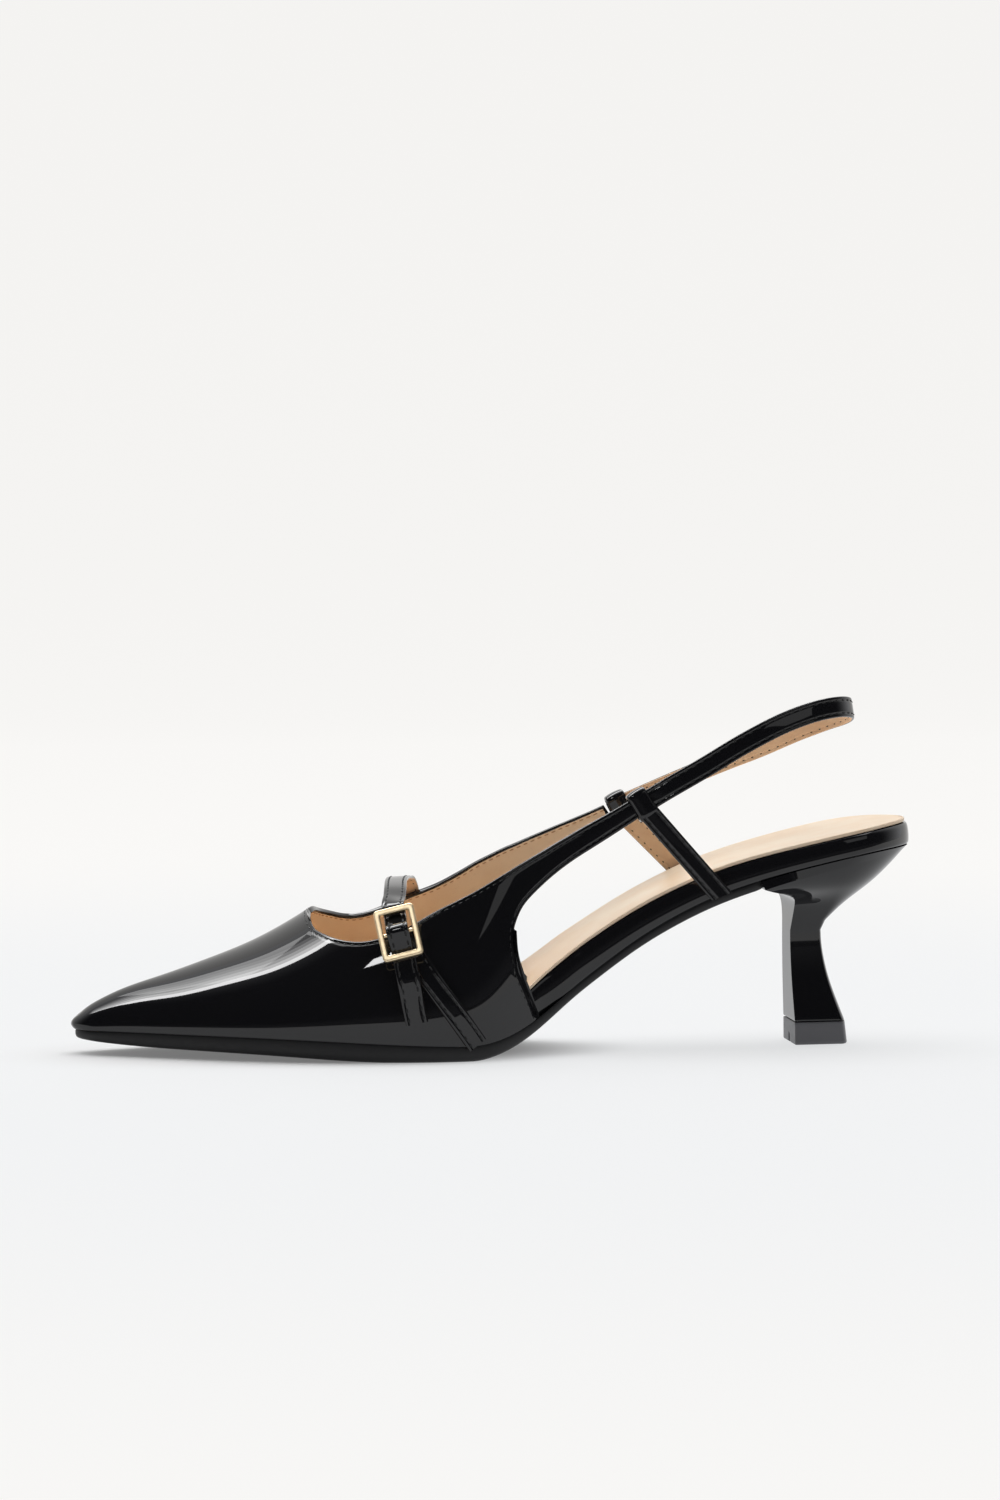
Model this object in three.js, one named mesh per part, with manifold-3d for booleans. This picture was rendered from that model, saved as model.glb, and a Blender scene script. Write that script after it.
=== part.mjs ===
// Pointed slingback pump for the left foot, with open sides, an instep strap with a buckle and a flared heel.
// Millimetres. +Z is up, the toe points along -X, the outer side of the foot faces -Y.
import * as THREE from 'three';
import { mergeVertices } from 'three/addons/utils/BufferGeometryUtils.js';
import Module from 'manifold-3d';

const wasm = await Module();
wasm.setup();

// Driving dimensions
const shoeLength = 260;        // toe tip to the back of the rand
const ballWidth = 74;          // outsole across the ball
const heelHeight = 62;         // floor to the underside of the rand at the back
const throatHeight = 38;       // feather line to the ridge of the vamp at the throat
const sideHeight = 50;         // feather line to the topline at the highest place of the quarter
const wall = 1.8;              // upper with its lining
const soleEdge = 4.6;          // outsole edge at the ball
const randHeight = 8;          // wrapped insole board with the sock, at the heel
const sockThickness = 1.2;
const sockMargin = 1.4;        // rim of the rand left free by the sock
const featherMargin = 0.6;     // upper and rand stand outside the outsole by this much
const toeSwing = 3;            // toe point towards the inner side
const clearance = 0.3;         // between pieces that are cemented or sewn together

const strapWidth = 6.8;
const strapThickness = 1.3;
const stayWidth = 6.3;
const stayThickness = 1.1;
const loopWall = 1;
const slingRise = 28;          // from the loops to the highest place of the sling
const slingReach = 68;         // from the loops to the back of the sling
const slingWidth = 20.4;       // half the distance between the two runs of the sling

const heelLength = 50.5;       // front of the heel to the back of the rand
const breastAt = shoeLength - heelLength;
const seatRadius = 22;         // rounding of the rand, the sock and the heel at the back
const seatRoom = 0.4;          // heel stands inside the rand by this much
const neckLength = 10.6;
const neckHalfWidth = 6.2;
const tipLength = 17.7;        // along the shoe, at the floor
const tipHalfWidth = 9.2;
const tipHeight = 7;
const notchWidth = 2;
const notchHeight = 3;

const buckleWidth = 12.4;
const buckleLength = 16.6;
const buckleBar = 1.8;          // frame bar, seen from the front
const buckleDepth = 1.6;       // frame bar, seen from the side
const barRadius = 0.6;         // bar across the middle of the buckle

// A smooth function through the rows of a table: a natural cubic spline in one of its columns
function spline(rows, column, scaleAt, scale) {
  const x = rows.map((row) => row[0] * scaleAt);
  const y = rows.map((row) => row[column] * scale);
  const last = x.length - 1;
  const bend = new Array(last + 1).fill(0);
  const work = new Array(last + 1).fill(0);
  for (let i = 1; i < last; i += 1) {
    const share = (x[i] - x[i - 1]) / (x[i + 1] - x[i - 1]);
    const pivot = share * bend[i - 1] + 2;
    const turn = (y[i + 1] - y[i]) / (x[i + 1] - x[i]) - (y[i] - y[i - 1]) / (x[i] - x[i - 1]);
    bend[i] = (share - 1) / pivot;
    work[i] = ((6 * turn) / (x[i + 1] - x[i - 1]) - share * work[i - 1]) / pivot;
  }
  bend[last] = 0;
  for (let i = last - 1; i >= 0; i -= 1) bend[i] = bend[i] * bend[i + 1] + work[i];
  return (at) => {
    let i = 0;
    while (i < last - 1 && at > x[i + 1]) i += 1;
    const step = x[i + 1] - x[i];
    const b = (at - x[i]) / step;
    const a = 1 - b;
    const curve = (a * a * a - a) * bend[i] + (b * b * b - b) * bend[i + 1];
    return a * y[i] + b * y[i + 1] + (curve * step * step) / 6;
  };
}

const mix = (a, b, t) => a + (b - a) * t;
const clamp01 = (t) => Math.min(1, Math.max(0, t));
const ease = (t) => clamp01(t) ** 2 * (3 - 2 * clamp01(t));

// Plan of the last. Columns: place along the shoe as a share of its length, outer and inner half width of the
// outsole, outer and inner half width of the upper at its widest, all four as shares of the ball width.
const plan = [
  [0.000, 0.052, 0.052, 0.060, 0.060],
  [0.023, 0.082, 0.080, 0.092, 0.090],
  [0.050, 0.120, 0.116, 0.133, 0.129],
  [0.100, 0.202, 0.190, 0.219, 0.207],
  [0.160, 0.296, 0.280, 0.316, 0.300],
  [0.240, 0.399, 0.385, 0.422, 0.408],
  [0.310, 0.464, 0.458, 0.490, 0.484],
  [0.370, 0.500, 0.480, 0.528, 0.508],
  [0.430, 0.508, 0.436, 0.536, 0.468],
  [0.480, 0.472, 0.352, 0.500, 0.400],
  [0.535, 0.372, 0.254, 0.410, 0.338],
  [0.580, 0.300, 0.214, 0.334, 0.312],
  [0.620, 0.276, 0.206, 0.306, 0.300],
  [0.680, 0.270, 0.218, 0.294, 0.290],
  [0.740, 0.274, 0.246, 0.290, 0.286],
  [0.800, 0.290, 0.281, 0.290, 0.286],
  [0.850, 0.310, 0.307, 0.290, 0.286],
  [0.900, 0.320, 0.318, 0.290, 0.286],
  [0.950, 0.302, 0.302, 0.290, 0.286],
  [1.000, 0.262, 0.262, 0.290, 0.286],
];
const planHalf = [1, 2].map((column) => spline(plan, column, shoeLength, ballWidth));
const wideHalf = [3, 4].map((column) => spline(plan, column, shoeLength, ballWidth));

// Side view. Columns: place as a share of the length, feather line as a share of the heel height, outsole edge as a
// share of the edge at the ball, foot side of the sock above the feather line as a share of the rand height.
const profile = [
  [0.000, 0.118, 0.50, 0.52],
  [0.050, 0.118, 0.78, 0.52],
  [0.120, 0.117, 0.95, 0.52],
  [0.235, 0.110, 1.09, 0.52],
  [0.315, 0.098, 1.18, 0.52],
  [0.380, 0.086, 1.12, 0.53],
  [0.430, 0.078, 1.02, 0.56],
  [0.465, 0.080, 0.98, 0.63],
  [0.490, 0.101, 0.92, 0.86],
  [0.512, 0.135, 0.86, 1.22],
  [0.538, 0.194, 0.78, 1.47],
  [0.562, 0.265, 0.73, 1.50],
  [0.587, 0.344, 0.69, 1.48],
  [0.612, 0.420, 0.67, 1.43],
  [0.660, 0.561, 0.65, 1.29],
  [0.708, 0.678, 0.64, 1.17],
  [0.757, 0.773, 0.62, 1.09],
  [0.800, 0.836, 0.58, 1.04],
  [0.842, 0.888, 0.55, 0.99],
  [0.885, 0.933, 0.55, 0.97],
  [0.930, 0.972, 0.55, 0.97],
  [0.970, 0.993, 0.55, 1.00],
  [1.000, 1.000, 0.55, 1.03],
];
const featherAt = spline(profile, 1, shoeLength, heelHeight);
const edgeAt = spline(profile, 2, shoeLength, soleEdge);
const footRise = spline(profile, 3, shoeLength, randHeight);
const treadAt = (at) => Math.max(0, featherAt(at) - clearance - edgeAt(at));
const footAt = (at) => featherAt(at) + footRise(at);

// Ridge of the last above the feather line, as a share of its height at the throat. Behind the throat the upper is
// open, and the ridge only sets how far the walls lean in.
const ridge = [
  [0.000, 0.115], [0.012, 0.170], [0.030, 0.235], [0.060, 0.325], [0.105, 0.428], [0.160, 0.562], [0.215, 0.718],
  [0.277, 0.966], [0.330, 1.21], [0.385, 1.45], [0.440, 1.80], [0.500, 2.30], [0.560, 2.66], [0.615, 2.84],
  [0.680, 2.80], [0.760, 2.78],
];
const ridgeAt = spline(ridge, 1, shoeLength, throatHeight);

const noseRound = 6;           // rounding of the toe point, seen from above
const noseLean = [1.1, 2.2];   // how far feather line and ridge lie behind the foremost place of the toe
const noseFade = 7;
const sectionPower = 1.1;
const tuckPower = 3;

const centreAt = (at) => toeSwing * clamp01(1 - at / (0.45 * shoeLength)) ** 2;
const noseCap = (at, from, round) => Math.sqrt(1 - (1 - clamp01((at - from) / round)) ** 2);

// The last's surface. side is 0 outside and 1 inside, up is the share of the way from the feather line to the ridge.
function lastPoint(side, at, up) {
  const sign = side === 0 ? -1 : 1;
  const cap = noseCap(at, 0, noseRound);
  const wide = wideHalf[side](at) * cap;
  const tuck = wide - (planHalf[side](at) + featherMargin) * cap;
  const rise = Math.min(1, up);
  const half = wide * Math.sqrt(1 - rise * rise) ** sectionPower - tuck * (1 - rise) ** tuckPower;
  const lean = rise < 0.4 ? noseLean[0] * (1 - rise / 0.4) ** 2 : noseLean[1] * ((rise - 0.4) / 0.6) ** 2;
  const x = at + lean * Math.exp(-at / noseFade);
  return new THREE.Vector3(x, centreAt(at) + sign * Math.max(0, half), featherAt(at) + ridgeAt(at) * rise);
}

// Outward normal of the last's surface, from its two directions
function lastNormal(side, at, up) {
  const step = 0.02;
  const along = lastPoint(side, at + step, up).sub(lastPoint(side, Math.max(0, at - step), up));
  const low = Math.max(0, up - step);
  const high = Math.min(1, up + step);
  const climb = lastPoint(side, at, high).sub(lastPoint(side, at, low));
  const normal = side === 0 ? along.cross(climb) : climb.cross(along);
  return normal.normalize();
}

// Ribs of the upper's free part, from the throat to the loops. Columns: place and height of the rib's foot, place and
// height of its top. Places are shares of the shoe length, heights are shares of the side height above the feather
// line. The feet run along the feather line, up the back edge of the quarter and along the band.
const outerRibs = [
  [0.260, 0.000, 0.2792, 0.780],
  [0.276, 0.000, 0.2768, 0.714],
  [0.292, 0.000, 0.2790, 0.664],
  [0.308, 0.000, 0.2860, 0.637],
  [0.324, 0.000, 0.2970, 0.617],
  [0.341, 0.000, 0.3120, 0.603],
  [0.360, 0.000, 0.3300, 0.604],
  [0.381, 0.000, 0.3480, 0.625],
  [0.404, 0.000, 0.3670, 0.662],
  [0.427, 0.000, 0.3855, 0.711],
  [0.450, 0.000, 0.4030, 0.766],
  [0.473, 0.000, 0.4185, 0.813],
  [0.495, 0.000, 0.4320, 0.849],
  [0.516, 0.000, 0.4435, 0.879],
  [0.5365, 0.000, 0.4535, 0.904],
  [0.529, 0.110, 0.4630, 0.926],
  [0.5175, 0.270, 0.4800, 0.961],
  [0.5095, 0.430, 0.4960, 0.984],
  [0.5065, 0.575, 0.5125, 0.997],
  [0.509, 0.655, 0.5290, 0.997],
  [0.518, 0.732, 0.5450, 0.986],
  [0.534, 0.774, 0.5610, 0.969],
  [0.556, 0.788, 0.5790, 0.947],
  [0.583, 0.777, 0.5990, 0.926],
  [0.612, 0.757, 0.6195, 0.905],
  [0.643, 0.741, 0.6400, 0.888],
  [0.672, 0.736, 0.6590, 0.878],
];
const innerRibs = [
  [0.260, 0.000, 0.2792, 0.780],
  [0.276, 0.000, 0.2846, 0.753],
  [0.292, 0.000, 0.2931, 0.738],
  [0.308, 0.000, 0.3040, 0.716],
  [0.324, 0.000, 0.3150, 0.699],
  [0.341, 0.000, 0.3285, 0.682],
  [0.360, 0.000, 0.3445, 0.679],
  [0.381, 0.000, 0.3625, 0.699],
  [0.404, 0.000, 0.3810, 0.741],
  [0.427, 0.000, 0.4000, 0.792],
  [0.450, 0.000, 0.4175, 0.829],
  [0.473, 0.000, 0.4340, 0.863],
  [0.495, 0.000, 0.4480, 0.897],
  [0.518, 0.000, 0.4600, 0.929],
  [0.542, 0.000, 0.4700, 0.953],
  [0.537, 0.110, 0.4810, 0.977],
  [0.5285, 0.270, 0.4930, 0.996],
  [0.522, 0.430, 0.5065, 1.006],
  [0.519, 0.575, 0.5210, 1.009],
  [0.521, 0.655, 0.5360, 0.998],
  [0.529, 0.724, 0.5505, 0.980],
  [0.543, 0.760, 0.5650, 0.956],
  [0.562, 0.768, 0.5805, 0.929],
  [0.584, 0.752, 0.5960, 0.902],
  [0.607, 0.730, 0.6120, 0.876],
  [0.630, 0.712, 0.6270, 0.852],
  [0.654, 0.694, 0.6420, 0.832],
];
const ribTables = [outerRibs, innerRibs];
const shareUp = (at, height) => height / ridgeAt(at);
const ribFeet = (side) => ribTables[side].map(([at, up]) => [at * shoeLength, up * sideHeight]);
const ribTops = (side) => ribTables[side].map(([, , at, up]) => [at * shoeLength, up * sideHeight]);

// Turning two matching grids of points into one closed wall: the outer skin, the turned inner skin and a rim along
// every free edge
function wallSolid(outer, inner, quads) {
  const points = outer.concat(inner);
  const shift = outer.length;
  const faces = [];
  const seen = new Map();
  const tri = (a, b, c) => {
    if (a === b || b === c || c === a) return;
    faces.push([a, b, c], [c + shift, b + shift, a + shift]);
    [[a, b], [b, c], [c, a]].forEach(([p, q]) => {
      const back = `${q} ${p}`;
      if (seen.has(back)) seen.delete(back);
      else seen.set(`${p} ${q}`, [p, q]);
    });
  };
  quads.forEach(([a, b, c, d]) => {
    tri(a, b, c);
    tri(a, c, d);
  });
  seen.forEach(([p, q]) => faces.push([q, p, p + shift], [q, p + shift, q + shift]));
  return solid(points, faces);
}

// A closed triangle mesh with its faces pointing out
function solid(points, faces) {
  const geometry = new THREE.BufferGeometry();
  geometry.setAttribute('position', new THREE.Float32BufferAttribute(points.flatMap((p) => p.toArray()), 3));
  let volume = 0;
  faces.forEach(([a, b, c]) => {
    volume += points[a].dot(new THREE.Vector3().crossVectors(points[b], points[c]));
  });
  geometry.setIndex(faces.flatMap(([a, b, c]) => (volume < 0 ? [a, c, b] : [a, b, c])));
  return geometry;
}

// Joining and cutting closed solids
function toManifold(geometry) {
  const bare = geometry.clone();
  bare.deleteAttribute('normal');
  bare.deleteAttribute('uv');
  const merged = mergeVertices(bare, 1e-4);
  return new wasm.Manifold(new wasm.Mesh({
    numProp: 3,
    vertProperties: new Float32Array(merged.attributes.position.array),
    triVerts: new Uint32Array(merged.index.array),
  }));
}

function fromManifold(body) {
  const mesh = body.getMesh();
  const geometry = new THREE.BufferGeometry();
  geometry.setAttribute('position', new THREE.Float32BufferAttribute(mesh.vertProperties, 3));
  geometry.setIndex(Array.from(mesh.triVerts));
  return geometry;
}

// Upper: vamp, quarters and the two bands in one wall, open at the throat, the sides, the back and underneath
const upperRows = 9;
const vampColumns = 15;
function upperGeometry() {
  const outer = [];
  const inner = [];
  const index = new Map();
  const grid = [[], []];
  const place = (key, side, at, up, rim) => {
    if (!index.has(key)) {
      const point = lastPoint(side, at, up);
      const normal = lastNormal(side, at, up);
      if (up >= 1) normal.y = 0;
      if (at <= 0) {
        normal.y = 0;
        normal.z = Math.min(normal.z, 0.75);
      }
      const inside = point.clone().addScaledVector(normal.normalize(), -wall);
      if (rim) inside.z = point.z;
      index.set(key, outer.length);
      outer.push(point);
      inner.push(inside);
    }
    return index.get(key);
  };
  [0, 1].forEach((side) => {
    const columns = [];
    const throatFoot = ribFeet(side)[0][0];
    const throatTop = ribTops(side)[0][0];
    for (let i = 0; i < vampColumns; i += 1) {
      const t = (i / vampColumns) ** 1.35;
      const foot = t * throatFoot;
      columns.push([foot, 0, mix(foot, t * throatTop, t), null]);
    }
    const feet = ribFeet(side);
    const tops = ribTops(side);
    feet.forEach(([at, up], i) => columns.push([at, up, tops[i][0], tops[i][1]]));
    columns.forEach(([footPlace, footUp, topPlace, topUp], i) => {
      const low = footUp / ridgeAt(footPlace);
      const high = topUp === null ? 1 : Math.min(1, shareUp(topPlace, topUp));
      const lowAngle = Math.asin(low);
      const highAngle = Math.asin(high);
      const column = [];
      for (let j = 0; j <= upperRows; j += 1) {
        const t = j / upperRows;
        const at = mix(footPlace, topPlace, t);
        const up = high === 1 && j === upperRows ? 1 : Math.sin(mix(lowAngle, highAngle, t));
        const shared = i === 0 || (up === 1);
        column.push(place(`${shared ? 'mid' : side} ${i} ${j}`, side, at, up, j === 0 && footUp === 0));
      }
      grid[side].push(column);
    });
  });
  const quads = [];
  [0, 1].forEach((side) => {
    for (let i = 0; i + 1 < grid[side].length; i += 1) {
      for (let j = 0; j < upperRows; j += 1) {
        const [a, b] = [grid[side][i], grid[side][i + 1]];
        const quad = [a[j], b[j], b[j + 1], a[j + 1]];
        quads.push(side === 0 ? quad : quad.reverse());
      }
    }
  });
  return wallSolid(outer, inner, quads);
}

// A flat piece that follows the sole: rings of the same plan at several heights, closed above and below. A ring has
// its inset and its height over the place along the shoe.
const slabStations = [
  0, 0.004, 0.012, 0.025, 0.045, 0.075, 0.12, 0.18, 0.24, 0.3, 0.35, 0.4, 0.44, 0.47, 0.5, 0.53, 0.56, 0.59, 0.625,
  0.665, 0.71, 0.76, 0.81, 0.855, 0.89, 0.92, 0.945, 0.965, 0.982, 0.993, 1,
];
function slab({ from, to, noseRadius, backRadius, half, rings }) {
  const points = [];
  const loops = rings.map(({ inset, height }) => {
    const start = from + inset;
    const end = to - (backRadius > 0 ? inset : 0);
    const sides = [[], []];
    slabStations.forEach((share) => {
      const at = mix(start, end, share);
      const front = noseCap(at, start, noseRadius);
      const back = backRadius > 0 ? noseCap(-at, -end, backRadius) : 1;
      [0, 1].forEach((side) => {
        const out = (half(side, at) - inset) * front * back;
        const y = centreAt(at) + (side === 0 ? -out : out);
        if (side === 1 && out < 1e-6) {
          sides[1].push(sides[0][sides[0].length - 1]);
        } else {
          sides[side].push(points.length);
          points.push(new THREE.Vector3(at, y, height(at)));
        }
      });
    });
    return sides;
  });
  const faces = [];
  const quad = (a, b, c, d) => {
    [[a, b, c], [a, c, d]].forEach(([p, q, r]) => {
      if (p !== q && q !== r && r !== p) faces.push([p, q, r]);
    });
  };
  const last = slabStations.length - 1;
  for (let i = 0; i < last; i += 1) {
    const [low, high] = [loops[0], loops[loops.length - 1]];
    quad(low[0][i], low[0][i + 1], low[1][i + 1], low[1][i]);
    quad(high[0][i], high[1][i], high[1][i + 1], high[0][i + 1]);
    for (let k = 0; k + 1 < loops.length; k += 1) {
      const [a, b] = [loops[k], loops[k + 1]];
      quad(a[0][i + 1], a[0][i], b[0][i], b[0][i + 1]);
      quad(a[1][i], a[1][i + 1], b[1][i + 1], b[1][i]);
    }
  }
  for (let k = 0; k + 1 < loops.length; k += 1) {
    const [a, b] = [loops[k], loops[k + 1]];
    quad(a[1][last], a[0][last], b[0][last], b[1][last]);
  }
  return solid(points, faces);
}

const outsoleFrom = 1.3;
function outsoleGeometry() {
  return slab({
    from: outsoleFrom,
    to: breastAt - 0.8,
    noseRadius: noseRound,
    backRadius: 0,
    half: (side, at) => planHalf[side](at),
    rings: [
      { inset: 2.4, height: treadAt },
      { inset: 0.8, height: (at) => treadAt(at) + 0.08 * edgeAt(at) },
      { inset: 0.1, height: (at) => treadAt(at) + 0.35 * edgeAt(at) },
      { inset: 0, height: (at) => featherAt(at) - clearance },
    ],
  });
}

// The board lies inside the upper in front, and is wrapped and shows as the rand behind the quarter
const quarterFootIndex = 14;
const quarterEnd = outerRibs[quarterFootIndex][0] * shoeLength;
const boardFrom = 8;
const insideUpper = (at) => (wall + clearance) * (1 - ease((at - quarterEnd - 0.5) / 12));
const boardHalf = (side, at) => planHalf[side](at) + featherMargin - insideUpper(at);
const boardTop = (at) => footAt(at) - sockThickness - clearance;
function boardGeometry() {
  return slab({
    from: boardFrom,
    to: shoeLength,
    noseRadius: 6,
    backRadius: seatRadius,
    half: boardHalf,
    rings: [
      { inset: 1, height: featherAt },
      { inset: 0.1, height: (at) => mix(featherAt(at), boardTop(at), 0.18) },
      { inset: 0, height: (at) => mix(featherAt(at), boardTop(at), 0.78) },
      { inset: 0.6, height: boardTop },
    ],
  });
}

const toeTaper = 0.9;          // the sock keeps clear of the toe's leaning wall
const toeTaperLength = 60;
function sockHalf(side, at) {
  const rim = sockMargin * ease((at - quarterEnd + 6) / 16);
  return boardHalf(side, at) - rim - toeTaper * (1 - ease(at / toeTaperLength));
}

function sockGeometry() {
  return slab({
    from: boardFrom + 1,
    to: shoeLength - sockMargin,
    noseRadius: 6,
    backRadius: seatRadius,
    half: sockHalf,
    rings: [
      { inset: 0.3, height: (at) => footAt(at) - sockThickness },
      { inset: 0, height: (at) => footAt(at) - 0.45 * sockThickness },
      { inset: 0.5, height: footAt },
    ],
  });
}

// Heel. Columns: front and back of the section behind the breast and its heights there, both as shares of the heel
// height, half width in front and behind as shares of the seat's half width, start of the back rounding, and how far
// the section follows the curve of the seat.
const seatHalf = (side, at) => planHalf[side](at) + featherMargin - seatRoom;
const heelBowl = [
  [0.200, 0.618, 0.390, 0.618, 0.310, 0.300, 0.78, 0.0],
  [0.203, 0.700, 0.480, 0.702, 0.440, 0.440, 0.66, 0.0],
  [0.185, 0.745, 0.575, 0.776, 0.600, 0.620, 0.56, 0.2],
  [0.130, 0.768, 0.655, 0.842, 0.760, 0.790, 0.50, 0.4],
  [0.065, 0.784, 0.730, 0.915, 0.885, 0.910, 0.46, 0.7],
  [0.015, 0.799, 0.776, 0.965, 0.965, 0.975, 0.45, 0.9],
];
// Flared shaft from the neck to the top of the tip. Columns: share of the way down, share of the flare.
const shaft = [[0, 0], [0.1, 0.015], [0.3, 0.12], [0.55, 0.36], [0.8, 0.7], [1, 1]];
const neckTop = 0.57 * heelHeight;
const neckFront = breastAt + 0.196 * heelHeight;
const tipFront = neckFront + 1.2;
const shaftSection = (flare) => ({
  front: mix(neckFront, tipFront, flare),
  back: mix(neckFront + neckLength, tipFront + tipLength, flare),
  wide: mix(neckHalfWidth, tipHalfWidth, flare),
});
const tipFlare = 0.9;
const backTaper = 0.86;        // the back of the shaft is narrower than its front
const heelSteps = 12;

// One ring of the heel from its front corner round the back to the other front corner
function heelRing({ front, frontUp, back, backUp, halfFront, halfBack, round, follow, seat }) {
  const chordLow = featherAt(front) - clearance;
  const chordHigh = featherAt(back) - clearance;
  const side = (sideIndex) => {
    const list = [];
    for (let i = 0; i <= heelSteps; i += 1) {
      const v = Math.sin((i / heelSteps) * Math.PI * 0.5);
      const at = mix(front, back, v);
      const cap = Math.sqrt(Math.max(0, 1 - clamp01((v - round) / (1 - round)) ** 2));
      const half = seat ? seat(sideIndex, at) : mix(halfFront, halfBack, v) * cap;
      const bow = featherAt(at) - clearance - mix(chordLow, chordHigh, v);
      list.push(new THREE.Vector3(at, sideIndex === 0 ? -half : half, mix(frontUp, backUp, v) + follow * bow));
    }
    list[heelSteps].y = 0;
    return list;
  };
  const outerSide = side(0);
  const innerSide = side(1).slice(0, heelSteps).reverse();
  return outerSide.concat(innerSide);
}

// Stacked rings closed by a ladder of faces at each end
function stack(rings) {
  const count = rings[0].length;
  const points = rings.flat();
  const faces = [];
  const cap = (base, turned) => {
    for (let i = 0; i < heelSteps; i += 1) {
      const [a, b, c, d] = [i, i + 1, count - 2 - i, count - 1 - i].map((k) => base + k);
      const add = (p, q, r) => {
        if (p !== q && q !== r && r !== p) faces.push(turned ? [p, r, q] : [p, q, r]);
      };
      add(a, b, c);
      add(a, c, d);
    }
  };
  for (let k = 0; k + 1 < rings.length; k += 1) {
    for (let i = 0; i < count; i += 1) {
      const n = (i + 1) % count;
      const [a, b, c, d] = [k * count + i, k * count + n, (k + 1) * count + n, (k + 1) * count + i];
      faces.push([a, b, c], [a, c, d]);
    }
  }
  cap(0, true);
  cap((rings.length - 1) * count, false);
  return solid(points, faces);
}

const backRound = 0.86;
function shaftRing(flare, z) {
  const { front, back, wide } = shaftSection(flare);
  return heelRing({
    front, back, frontUp: z, backUp: z, halfFront: wide, halfBack: wide * backTaper, round: backRound, follow: 0,
  });
}

function heelGeometry() {
  const rings = [];
  const bottom = tipHeight + clearance;
  shaft.slice().reverse().forEach(([down, flare]) => {
    rings.push(shaftRing(flare * tipFlare, mix(neckTop, bottom, down)));
  });
  const seatHalfWidth = seatHalf(0, 0.89 * shoeLength);
  heelBowl.forEach(([front, frontUp, back, backUp, halfFront, halfBack, round, follow]) => {
    rings.push(heelRing({
      front: breastAt + front * heelHeight,
      frontUp: frontUp * heelHeight,
      back: breastAt + back * heelHeight,
      backUp: backUp * heelHeight,
      halfFront: halfFront * seatHalfWidth,
      halfBack: halfBack * seatHalfWidth,
      round,
      follow,
    }));
  });
  const back = shoeLength - seatRoom;
  rings.push(heelRing({
    front: breastAt,
    frontUp: featherAt(breastAt) - clearance,
    back,
    backUp: featherAt(back) - clearance,
    follow: 1,
    seat: (side, at) => seatHalf(side, at) * noseCap(-at, -back, seatRadius),
  }));
  return stack(rings);
}

function tipGeometry() {
  const block = stack([shaftRing(1, 0), shaftRing(0.985, 0.12 * tipHeight), shaftRing(tipFlare + 0.01, tipHeight)]);
  const arch = new THREE.Shape();
  arch.moveTo(-notchWidth / 2, -1);
  arch.lineTo(notchWidth / 2, -1);
  arch.lineTo(notchWidth / 2, notchHeight - notchWidth / 2);
  arch.absarc(0, notchHeight - notchWidth / 2, notchWidth / 2, 0, Math.PI, false);
  const notch = new THREE.ExtrudeGeometry(arch, { depth: 4, bevelEnabled: false, curveSegments: 6 });
  notch.applyMatrix4(new THREE.Matrix4().set(0, 0, 1, tipFront - 2.5, 1, 0, 0, 0, 0, 1, 0, 0, 0, 0, 0, 1));
  return fromManifold(toManifold(block).subtract(toManifold(notch)));
}

// A flat strap along a path of places, each with the direction that its face looks. A slant cuts its last end askew.
function strap(path, width, thickness, slant = 0) {
  const points = [];
  const faces = [];
  path.forEach(({ place, face }, i) => {
    const before = path[Math.max(0, i - 1)].place;
    const after = path[Math.min(path.length - 1, i + 1)].place;
    const along = after.clone().sub(before).normalize();
    const across = new THREE.Vector3().crossVectors(along, face).normalize();
    const out = new THREE.Vector3().crossVectors(across, along).normalize();
    const cut = i === path.length - 1 ? slant : 0;
    [[-1, -1], [1, -1], [1, 1], [-1, 1]].forEach(([a, b]) => {
      const corner = place.clone().addScaledVector(across, (a * width) / 2);
      points.push(corner.addScaledVector(out, (b * thickness) / 2).addScaledVector(along, a * cut));
    });
  });
  for (let i = 0; i + 1 < path.length; i += 1) {
    for (let k = 0; k < 4; k += 1) {
      const n = (k + 1) % 4;
      const [a, b, c, d] = [i * 4 + k, i * 4 + n, i * 4 + 4 + n, i * 4 + 4 + k];
      faces.push([a, b, c], [a, c, d]);
    }
  }
  const end = (path.length - 1) * 4;
  faces.push([0, 2, 1], [0, 3, 2], [end, end + 1, end + 2], [end, end + 2, end + 3]);
  return solid(points, faces);
}

// A smooth path through a few places with faces
function smoothPath(stops, steps) {
  const line = new THREE.CatmullRomCurve3(stops.map(({ place }) => place), false, 'centripetal');
  const looks = new THREE.CatmullRomCurve3(stops.map(({ face }) => face), false, 'centripetal');
  const path = [];
  for (let i = 0; i <= steps; i += 1) {
    path.push({ place: line.getPoint(i / steps), face: looks.getPoint(i / steps).normalize() });
  }
  return path;
}

// A place on the upper, lifted off its outer skin
function onUpper(side, at, height, lift) {
  const up = shareUp(at, height);
  const face = lastNormal(side, at, up);
  return { place: lastPoint(side, at, up).addScaledVector(face, lift), face };
}

// Middle of the band's end on each side, the way it runs there and its width
function bandEnd(side) {
  const rib = ribTables[side][ribTables[side].length - 1];
  const before = ribTables[side][ribTables[side].length - 2];
  const low = onUpper(side, rib[0] * shoeLength, rib[1] * sideHeight, -wall / 2);
  const high = onUpper(side, rib[2] * shoeLength, rib[3] * sideHeight, -wall / 2);
  const lowBefore = onUpper(side, before[0] * shoeLength, before[1] * sideHeight, -wall / 2);
  const highBefore = onUpper(side, before[2] * shoeLength, before[3] * sideHeight, -wall / 2);
  const place = low.place.clone().add(high.place).multiplyScalar(0.5);
  const back = lowBefore.place.clone().add(highBefore.place).multiplyScalar(0.5);
  const along = place.clone().sub(back).normalize();
  const face = low.face.clone().add(high.face).normalize();
  const across = high.place.clone().sub(low.place);
  return { place, along, face, width: across.length() };
}
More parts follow.
